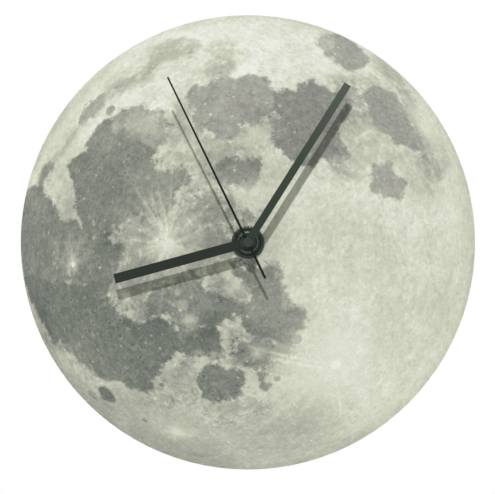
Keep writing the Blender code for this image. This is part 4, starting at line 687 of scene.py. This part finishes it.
def make_moon_film():
    """The printed film: a thin disc whose face is a fine web of rings, each point with its lightness."""
    low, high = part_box("moon_print")
    inner, radius = bore("moon_print"), high.x
    spacing = WEB_SPACING
    first, last = round(inner / spacing), round(radius / spacing)
    front = [(k, low.y) for k in range(first, last + 1)]
    vertices, rings, faces = [], [], []
    for k, y in front + [(last, high.y), (first, high.y)]:
        reach = inner + (radius - inner) * (k - first) / (last - first)
        rings.append(range(len(vertices), len(vertices) + 6 * k))
        vertices.extend((reach * math.cos(a), y, reach * math.sin(a)) for a in turns(6 * k))
    for ring, following in zip(rings, rings[1:] + rings[:1]):
        faces += bridge(ring, following)
    film = stand_in("moon_film", vertices, faces, "moon_print", "root", "moon_film")
    moon = Moon(np.array(vertices)[:, [0, 2]] / radius)
    for name, values in (("lightness", moon.paint()), ("violet", moon.violet()), ("shore", moon.shore())):
        attribute = film.data.attributes.new(name, "FLOAT", "POINT")
        attribute.data.foreach_set("value", values.astype(np.float32))
    sphere = film.data.attributes.new("on_moon", "FLOAT_VECTOR", "POINT")
    sphere.data.foreach_set("vector", moon.sphere.astype(np.float32).ravel())


def make_turned(name, rings, closed, *place):
    """A smooth piece through rings of points. Its last ring meets the first, or its ends are capped."""
    around = len(rings[0])
    vertices = [point for ring in rings for point in ring]
    faces = []
    for i in range(len(rings) if closed else len(rings) - 1):
        here, there = i * around, (i + 1) % len(rings) * around
        for k in range(around):
            beside = (k + 1) % around
            faces.append((here + k, there + k, there + beside, here + beside))
    if not closed:
        faces += [range(around), range(len(vertices) - 1, len(vertices) - around - 1, -1)]
    mesh = stand_in(name, vertices, faces, *place).data
    mesh.shade_smooth()
    mesh.set_sharp_from_angle(angle=SHARP_FROM)


def nut_profile(inner, rim, height):
    """Radius, height and share of the grip's waves, round the section of the nut."""
    boss, rounding = NUT_BOSS_RADIUS, NUT_BOSS_ROUNDING
    profile = [
        (inner, 0, 0), (rim - 0.0003, 0, 1), (rim, 0.0002, 1), (rim, 0.0009, 1), (rim - 0.00015, 0.0012, 0.9),
        (rim - 0.0005, 0.00145, 0.5), (rim - 0.001, 0.0016, 0), (rim - 0.0023, 0.0016, 0),
        (rim - 0.0025, 0.00148, 0), (boss + 0.00025, 0.00148, 0), (boss, 0.0017, 0),
    ]
    for k in range(NUT_ROUNDING_STEPS + 1):
        a = math.pi / 2 * k / NUT_ROUNDING_STEPS
        profile.append((boss - rounding * (1 - math.cos(a)), height - rounding * (1 - math.sin(a)), 0))
    return profile + [(inner + 0.0003, height, 0), (inner, height - 0.0003, 0)]


def make_nut():
    """The fixing nut, with a rounded boss and a waved grip round its flange."""
    low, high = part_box("fixing_nut")
    angles = turns(NUT_WAVES * NUT_WAVE_POINTS)
    rings = []
    for radius, height, share in nut_profile(bore("fixing_nut"), high.x - NUT_WAVE_DEPTH, high.y - low.y):
        reaches = [radius + share * NUT_WAVE_DEPTH * math.cos(NUT_WAVES * a) for a in angles]
        rings.append([(r * math.cos(a), high.y - height, r * math.sin(a)) for r, a in zip(reaches, angles)])
    make_turned("nut_turned", rings, True, "fixing_nut", "root", "nut_plastic")


def make_battery():
    """The cell: a sleeve rolled over both edges, a flat steel base and a rounded steel button."""
    low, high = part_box("battery_cell")
    y, z = (low.y + high.y) / 2, (low.z + high.z) / 2
    radius = (high.z - low.z) / 2
    shoulder = high.x - BATTERY_NUB_LENGTH
    nub = BATTERY_NUB_RADIUS
    profile = [(low.x + depth, radius * share) for depth, share in BATTERY_EDGE]
    profile += [(shoulder - depth, radius * share) for depth, share in reversed(BATTERY_EDGE)]
    profile += [
        (shoulder - 0.0002, radius * 0.5), (shoulder, nub + 0.0002), (shoulder + 0.0002, nub),
        (high.x - 0.0003, nub), (high.x - 0.0001, nub - 0.0001), (high.x, nub - 0.0003),
    ]
    angles = turns(BATTERY_AROUND)
    rings = [[(x, y + r * math.cos(a), z + r * math.sin(a)) for a in angles] for x, r in profile]
    make_turned("battery_turned", rings, False, "battery_cell", "battery", "battery_sleeve")


# Finishes


class Nodes:
    """The nodes of a material or of the world."""

    def __init__(self, owner):
        owner.use_nodes = True
        self.tree = owner.node_tree

    def give(self, socket, value):
        if isinstance(value, bpy.types.NodeSocket):
            self.tree.links.new(value, socket)
        else:
            socket.default_value = value

    def node(self, kind, inputs=(), **settings):
        node = self.tree.nodes.new(kind)
        for name, value in settings.items():
            setattr(node, name, value)
        for name, value in dict(inputs).items():
            self.give(node.inputs[name], value)
        return node

    def maths(self, operation, a, b=0.0):
        return self.node("ShaderNodeMath", {0: a, 1: b}, operation=operation).outputs["Value"]


class Finish(Nodes):
    """A material and the few kinds of node that the finishes here need."""

    def __init__(self, name, **values):
        self.material = bpy.data.materials.new(name)
        super().__init__(self.material)
        self.set(**values)

    def set(self, **values):
        """Gives sockets of the shader a value or a link, and returns the material."""
        for socket, value in values.items():
            self.give(self.tree.nodes["Principled BSDF"].inputs[socket.replace("_", " ")], value)
        return self.material

    def attribute(self, name, output):
        return self.node("ShaderNodeAttribute", attribute_name=name).outputs[output]

    def place(self, stretch=(1, 1, 1)):
        """Coordinates in metres from the object, stretched along each axis."""
        place = self.node("ShaderNodeTexCoord").outputs["Object"]
        return self.node("ShaderNodeMapping", {"Vector": place, "Scale": stretch}).outputs["Vector"]

    def reach(self):
        """Distance from the clock's axis."""
        flat = self.place((1, 0, 1))
        return self.node("ShaderNodeVectorMath", {"Vector": flat}, operation="LENGTH").outputs["Value"]

    def noise(self, place, scale, detail=3.0, roughness=0.5, distortion=0.0):
        inputs = {"Scale": scale, "Detail": detail, "Roughness": roughness, "Distortion": distortion}
        return self.node("ShaderNodeTexNoise", {"Vector": place, **inputs}).outputs["Fac"]

    def remap(self, value, low, high, to_low, to_high):
        inputs = {"Value": value, "From Min": low, "From Max": high, "To Min": to_low, "To Max": to_high}
        return self.node("ShaderNodeMapRange", inputs).outputs["Result"]

    def between(self, noise, low, high):
        """A noise, which mostly keeps between 0.3 and 0.7, brought between low and high."""
        return self.remap(noise, 0.3, 0.7, low, high)

    def sum(self, a, b):
        return self.maths("ADD", a, b)

    def scattered(self, place, scale, share, stops):
        """Spots in that share of the cells. stops says how they go with the distance, and ends at 0."""
        cells = self.node("ShaderNodeTexVoronoi", {"Vector": place, "Scale": scale}).outputs
        colour = self.node("ShaderNodeSeparateColor", {"Color": cells["Color"]}).outputs
        chosen = self.maths("LESS_THAN", colour[0], share)
        total = 0.0
        for (near, a), (far, b) in zip(stops, stops[1:]):
            total = self.sum(total, self.remap(cells["Distance"], near, far, 0.0, b - a))
        return self.maths("MULTIPLY", self.sum(total, stops[0][1]), chosen)

    def ramp(self, value, stops):
        node = self.node("ShaderNodeValToRGB", {"Fac": value})
        elements = node.color_ramp.elements
        while len(elements) < len(stops):
            elements.new(1.0)
        for element, (position, colour) in zip(elements, stops):
            element.position = position
            element.color = (*colour, 1)
        return node.outputs["Color"]

    def mixed(self, share, a, b):
        """One colour, and another in its place by the share."""
        return self.node("ShaderNodeMix", {0: share, 6: a, 7: b}, data_type="RGBA").outputs[2]

    def done(self, colour, rough, grain, height):
        """Gives the shader its colour, its roughness and a grain of that height, and returns the material."""
        bump = self.node("ShaderNodeBump", {"Height": grain, "Distance": height})
        return self.set(Base_Color=colour, Roughness=rough, Normal=bump.outputs["Normal"])


def varied(colour, spread):
    """Stops for two shades of a colour, a share darker and lighter."""
    dark = tuple(c * (1 - spread) for c in colour)
    light = tuple(min(c * (1 + spread), 1) for c in colour)
    return ((0.3, dark), (0.7, light))


def moon_print_finish():
    """Satin film. The lightness of each point picks the ink, and fine mottling breaks it up."""
    finish = Finish("moon_print", Specular_IOR_Level=0.25)
    sphere = finish.attribute("on_moon", "Vector")
    lightness, violet, shore = (finish.attribute(name, "Fac") for name in ("lightness", "violet", "shore"))
    marks = finish.between(finish.noise(sphere, 60, 5, 0.65), -0.045, 0.045)
    ragged = finish.between(finish.noise(sphere, 80, 4, 0.75), -0.18, 0.18)
    ragged = finish.maths("MULTIPLY", ragged, shore)
    grain = finish.remap(finish.noise(sphere, 200, 2, 0.7), 0.2, 0.8, -0.09, 0.09)
    for scale, share, stops in (
        (26, 0.3, ((0, 0.22), (0.13, 0.16), (0.2, 0))),
        (15, 0.18, ((0.13, -0.03), (0.19, 0.045), (0.24, 0.045), (0.3, 0))),
        (23, 0.18, ((0.14, -0.05), (0.2, 0.06), (0.26, 0.06), (0.32, 0))),
        (48, 0.3, ((0, -0.09), (0.12, -0.05), (0.2, 0))),
    ):
        marks = finish.sum(marks, finish.scattered(sphere, scale, share, stops))
    marks = finish.maths("MULTIPLY", marks, finish.remap(lightness, 0.45, HIGHLAND, 1.0, 0.45))
    tone = finish.sum(finish.sum(lightness, marks), finish.sum(ragged, grain))
    inks = finish.ramp(tone, (
        (0.12, (0.1, 0.118, 0.1)), (0.18, (0.156, 0.18, 0.153)), (0.25, (0.233, 0.25, 0.212)),
        (0.37, (0.357, 0.37, 0.311)), (0.55, (0.528, 0.55, 0.44)), (0.68, (0.651, 0.68, 0.544)),
        (0.8, (0.786, 0.8, 0.71)), (0.92, (0.902, 0.91, 0.85)),
    ))
    violet_inks = finish.ramp(tone, (
        (0.12, (0.118, 0.118, 0.108)), (0.25, (0.25, 0.249, 0.232)), (0.4, (0.402, 0.397, 0.362)),
        (0.6, (0.59, 0.6, 0.505)),
    ))
    rough = finish.between(finish.noise(finish.place(), 900, 2), 0.5, 0.62)
    return finish.set(Base_Color=finish.mixed(violet, inks, violet_inks), Roughness=rough)


def dial_board_finish():
    finish = Finish("dial_board", Specular_IOR_Level=0.3)
    fibre = finish.noise(finish.place((1, 6, 1)), 700, 4, 0.6)
    colour = finish.ramp(fibre, varied((0.7, 0.71, 0.65), 0.1))
    rough = finish.between(fibre, 0.65, 0.85)
    return finish.done(colour, rough, fibre, 0.00005)


def plastic_finish(name, colour, spread, rough, grain_scale, grain_height, **values):
    """Moulded plastic: faint flow marks in the colour and an even, fine grain."""
    finish = Finish(name, **values)
    place = finish.place()
    flow = finish.ramp(finish.noise(place, 60, 3, 0.5, 0.6), varied(colour, spread))
    grain = finish.noise(place, grain_scale, 2)
    rough = finish.between(grain, rough - 0.05, rough + 0.05)
    return finish.done(flow, rough, grain, grain_height)


def nut_finish():
    """Glossy moulded plastic, polished along the crest of the boss's rounded edge, where a thin paler ring is
    a painted highlight.
    """
    finish = Finish("nut_gloss", Specular_IOR_Level=0.38)
    place = finish.place()
    aside = finish.maths("ABSOLUTE", finish.maths("SUBTRACT", finish.reach(), NUT_CREST_REACH))
    highlight_crest = finish.remap(aside, 0.0001, 0.0005, 1.0, 0.0)
    flow = finish.noise(place, 60, 3, 0.5, 0.6)
    plain = finish.ramp(flow, varied((0.02, 0.031, 0.021), 0.15))
    # The paler ring along the crest is a painted highlight.
    painted_highlight = finish.ramp(flow, varied((0.15, 0.175, 0.15), 0.15))
    colour = finish.mixed(highlight_crest, plain, painted_highlight)
    grain = finish.noise(place, 1800, 2)
    polish = finish.maths("MULTIPLY", highlight_crest, 0.12)
    rough = finish.maths("SUBTRACT", finish.between(grain, 0.15, 0.25), polish)
    return finish.done(colour, rough, grain, 0.000005)


def lacquer_finish(name, near, middle, far, specular):
    """Satin lacquer on stamped sheet: slight orange peel, and a painted sheen that lightens it towards the
    tip, mottled by dust.
    """
    finish = Finish(name, Specular_IOR_Level=specular)
    place = finish.place()
    dust = finish.between(finish.noise(place, 2500, 3, 0.7), -0.15, 0.15)
    # The hand lightens from hub to tip as a painted sheen, with the dust noise added to its spread.
    share = finish.sum(finish.remap(finish.reach(), HUB_REACH, HAND_REACH, 0.15, 0.85), dust)
    colour = finish.ramp(share, ((0, near), (0.5, middle), (1, far)))
    rough = finish.between(finish.noise(place, 150), 0.38, 0.52)
    return finish.done(colour, rough, finish.noise(place, 900, 2, 0.4), 0.00002)


def metal_finish(name, colour, rough, stretch, scale, line_height):
    """Worked metal: lines along the cut, or rings where the stretch is equal across the axis."""
    finish = Finish(name, Metallic=1.0)
    lines = finish.noise(finish.place(stretch), scale, 4, 0.6)
    tarnish = finish.ramp(finish.noise(finish.place(), 120, 3, 0.5, 0.4), varied(colour, 0.12))
    rough = finish.between(lines, rough - 0.08, rough + 0.1)
    return finish.done(tarnish, rough, lines, line_height)


def battery_finish():
    """Plain printed sleeve, pale grey with a slate band at the raised end, between bare steel ends."""
    finish = Finish("battery_sleeve", Specular_IOR_Level=0.5)
    low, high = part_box("battery_cell")
    shoulder = high.x - BATTERY_NUB_LENGTH
    place = finish.place()
    along = finish.node("ShaderNodeSeparateXYZ", {"Vector": place}).outputs["X"]
    share = finish.remap(along, low.x, high.x, 0, 1)
    edges = (
        low.x + BATTERY_BLEND / 2, shoulder - BATTERY_BAND - BATTERY_BLEND, shoulder - BATTERY_BAND,
        shoulder - BATTERY_BLEND / 2,
    )
    start, grey_end, slate_start, end = ((x - low.x) / (high.x - low.x) for x in edges)
    steel, grey, slate = (0.6, 0.59, 0.57), (0.4, 0.41, 0.42), (0.045, 0.06, 0.085)
    colour = finish.ramp(share, (
        (0, steel), (start, steel), (start + 0.001, grey), (grey_end, grey),
        (slate_start, slate), (end - 0.001, slate), (end, steel),
    ))
    bare, printed = (1, 1, 1), (0.45, 0.45, 0.45)
    finish.set(Metallic=finish.ramp(share, (
        (0, bare), (start, bare), (start + 0.001, printed), (end - 0.001, printed), (end, bare),
    )))
    wear = finish.noise(place, 350, 4, 0.65)
    scuffs = {"Color": colour, "Value": finish.between(wear, 0.85, 1.15)}
    scuffed = finish.node("ShaderNodeHueSaturation", scuffs).outputs["Color"]
    return finish.done(scuffed, finish.between(wear, 0.22, 0.38), wear, 0.000004)


def dress_all():
    """Gives every CAD node its finish, and stops the script where one is left out."""
    black, white = (0.02, 0.021, 0.02), (0.78, 0.78, 0.74)
    bare = set(nodes)
    finishes = (
        ("dial_plate", dial_board_finish()),
        # Each hand's colours lighten towards the tip as painted sheen, and the minute hand's are lighter than
        # the hour hand's as a painted reflection.
        ("hour_hand", lacquer_finish(
            "hour_lacquer", (0.009, 0.015, 0.01), (0.01, 0.017, 0.011), (0.028, 0.035, 0.03), 0.25)),
        ("minute_hand", lacquer_finish(
            "minute_lacquer", (0.014, 0.024, 0.015), (0.033, 0.048, 0.032), (0.09, 0.105, 0.094), 0.25)),
        ("second_hand", lacquer_finish(
            "second_lacquer", (0.004, 0.008, 0.005), (0.004, 0.008, 0.005), (0.008, 0.012, 0.009), 0.15)),
        ("second_hand_cap", plastic_finish(
            "cap_gloss", (0.014, 0.026, 0.016), 0.15, 0.2, 1800, 0.000005, Specular_IOR_Level=0.45)),
        ("rear_housing front_cover coil_bobbin", plastic_finish(
            "case_plastic", black, 0.2, 0.5, 2600, 0.00003)),
        ("hour_wheel", plastic_finish("hour_wheel_plastic", black, 0.2, 0.42, 1500, 0.00001)),
        ("middle_plate rotor_pinion intermediate_wheel seconds_wheel third_wheel centre_wheel minute_wheel"
         " setting_pinion", plastic_finish(
            "train_plastic", white, 0.05, 0.38, 900, 0.00001, Subsurface_Weight=0.15)),
        ("setting_knob", plastic_finish("knob_plastic", white, 0.05, 0.4, 1400, 0.00002)),
        ("threaded_bushing hour_collet minute_collet minute_tube", metal_finish(
            "turned_brass", (0.72, 0.53, 0.25), 0.26, (1, 8, 1), 500, 0.00001)),
        ("seconds_shaft stator_plate coil_core clutch_spring quartz_crystal", metal_finish(
            "ground_steel", (0.56, 0.56, 0.57), 0.3, (1, 1, 9), 400, 0.00001)),
        ("positive_contact negative_contact", metal_finish(
            "plated_strip", (0.66, 0.64, 0.59), 0.24, (1, 7, 1), 350, 0.00001)),
        ("rubber_washer", plastic_finish("washer_rubber", (0.022, 0.022, 0.022), 0.2, 0.7, 1200, 0.00004)),
        ("rotor_magnet", plastic_finish("ferrite", (0.1, 0.095, 0.09), 0.25, 0.5, 2200, 0.00003)),
        ("coil_winding", metal_finish(
            "enamelled_wire", (0.62, 0.24, 0.11), 0.3, (30, 1, 1), 200, 0.00006)),
        ("circuit_board", plastic_finish("board_laminate", (0.04, 0.19, 0.08), 0.25, 0.35, 700, 0.00002)),
        ("control_chip", plastic_finish("chip_resin", (0.015, 0.015, 0.015), 0.2, 0.25, 500, 0.00002)),
        ("battery_cell", battery_finish()),
        ("fixing_nut", nut_finish()),
        ("moon_print", moon_print_finish()),
    )
    for names, finish in finishes:
        for name in names.split():
            nodes[name].data.materials.clear()
            nodes[name].data.materials.append(finish)
            bare.remove(name)
    if bare:
        raise ValueError(f"no finish for {sorted(bare)}")


# Camera, lamps and studio


def look_along(obj, towards):
    obj.rotation_euler = Vector(towards).to_track_quat("-Z", "Y").to_euler()


def make_camera():
    data = bpy.data.cameras.new("camera")
    data.sensor_width = SENSOR_WIDTH
    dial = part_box("moon_print")
    seen_width = PHOTO_WIDTH * dial[1].x / DIAL_RADIUS_PX
    data.lens = SENSOR_WIDTH * CAMERA_DISTANCE / seen_width
    data.shift_x = (PHOTO_WIDTH / 2 - DIAL_CENTRE_PX[0]) / PHOTO_WIDTH
    data.shift_y = (DIAL_CENTRE_PX[1] - PHOTO_HEIGHT / 2) / PHOTO_WIDTH
    camera = new_object("camera", data)
    camera.location = (0, dial[0].y - CAMERA_DISTANCE, 0)
    look_along(camera, (0, 1, 0))
    bpy.context.scene.camera = camera


def add_lamp(name, colour, travel, distance, size, power):
    data = bpy.data.lights.new(name, "AREA")
    data.color = colour
    data.shape = "DISK"
    data.size = size
    data.energy = power
    lamp = new_object(name, data)
    lamp.location = Vector(travel).normalized() * -distance
    look_along(lamp, travel)


def make_world():
    """The fill light on the object, and white where the camera, a gloss or a glass sees the world."""
    world = bpy.data.worlds.new("studio")
    sky = Nodes(world)
    light = sky.node("ShaderNodeBackground", {"Color": (*FILL_COLOUR, 1), "Strength": FILL_STRENGTH})
    backdrop = sky.node("ShaderNodeBackground", {"Color": (1, 1, 1, 1)})
    path = sky.node("ShaderNodeLightPath").outputs
    seen = path["Is Camera Ray"]
    for ray in ("Is Glossy Ray", "Is Transmission Ray"):
        seen = sky.maths("MAXIMUM", seen, path[ray])
    choice = sky.node("ShaderNodeMixShader", {0: seen, 1: light.outputs[0], 2: backdrop.outputs[0]})
    sky.give(sky.tree.nodes["World Output"].inputs["Surface"], choice.outputs[0])
    bpy.context.scene.world = world


def make_floor():
    finish = Finish("studio_floor", Base_Color=FLOOR_COLOUR, Roughness=0.8)
    height = cad_box[0][2] - FLOOR_BELOW
    corners = [(x * FLOOR_HALF, y * FLOOR_HALF, height) for x, y in ((-1, -1), (1, -1), (1, 1), (-1, 1))]
    new_mesh("studio_floor", corners, [(0, 1, 2, 3)], finish.material)


bpy.context.scene.view_settings.view_transform = "Standard"
make_camera()
make_world()
make_floor()
for lamp in LAMPS:
    add_lamp(*lamp)
dress_all()
make_nut()
make_battery()
make_moon_film()
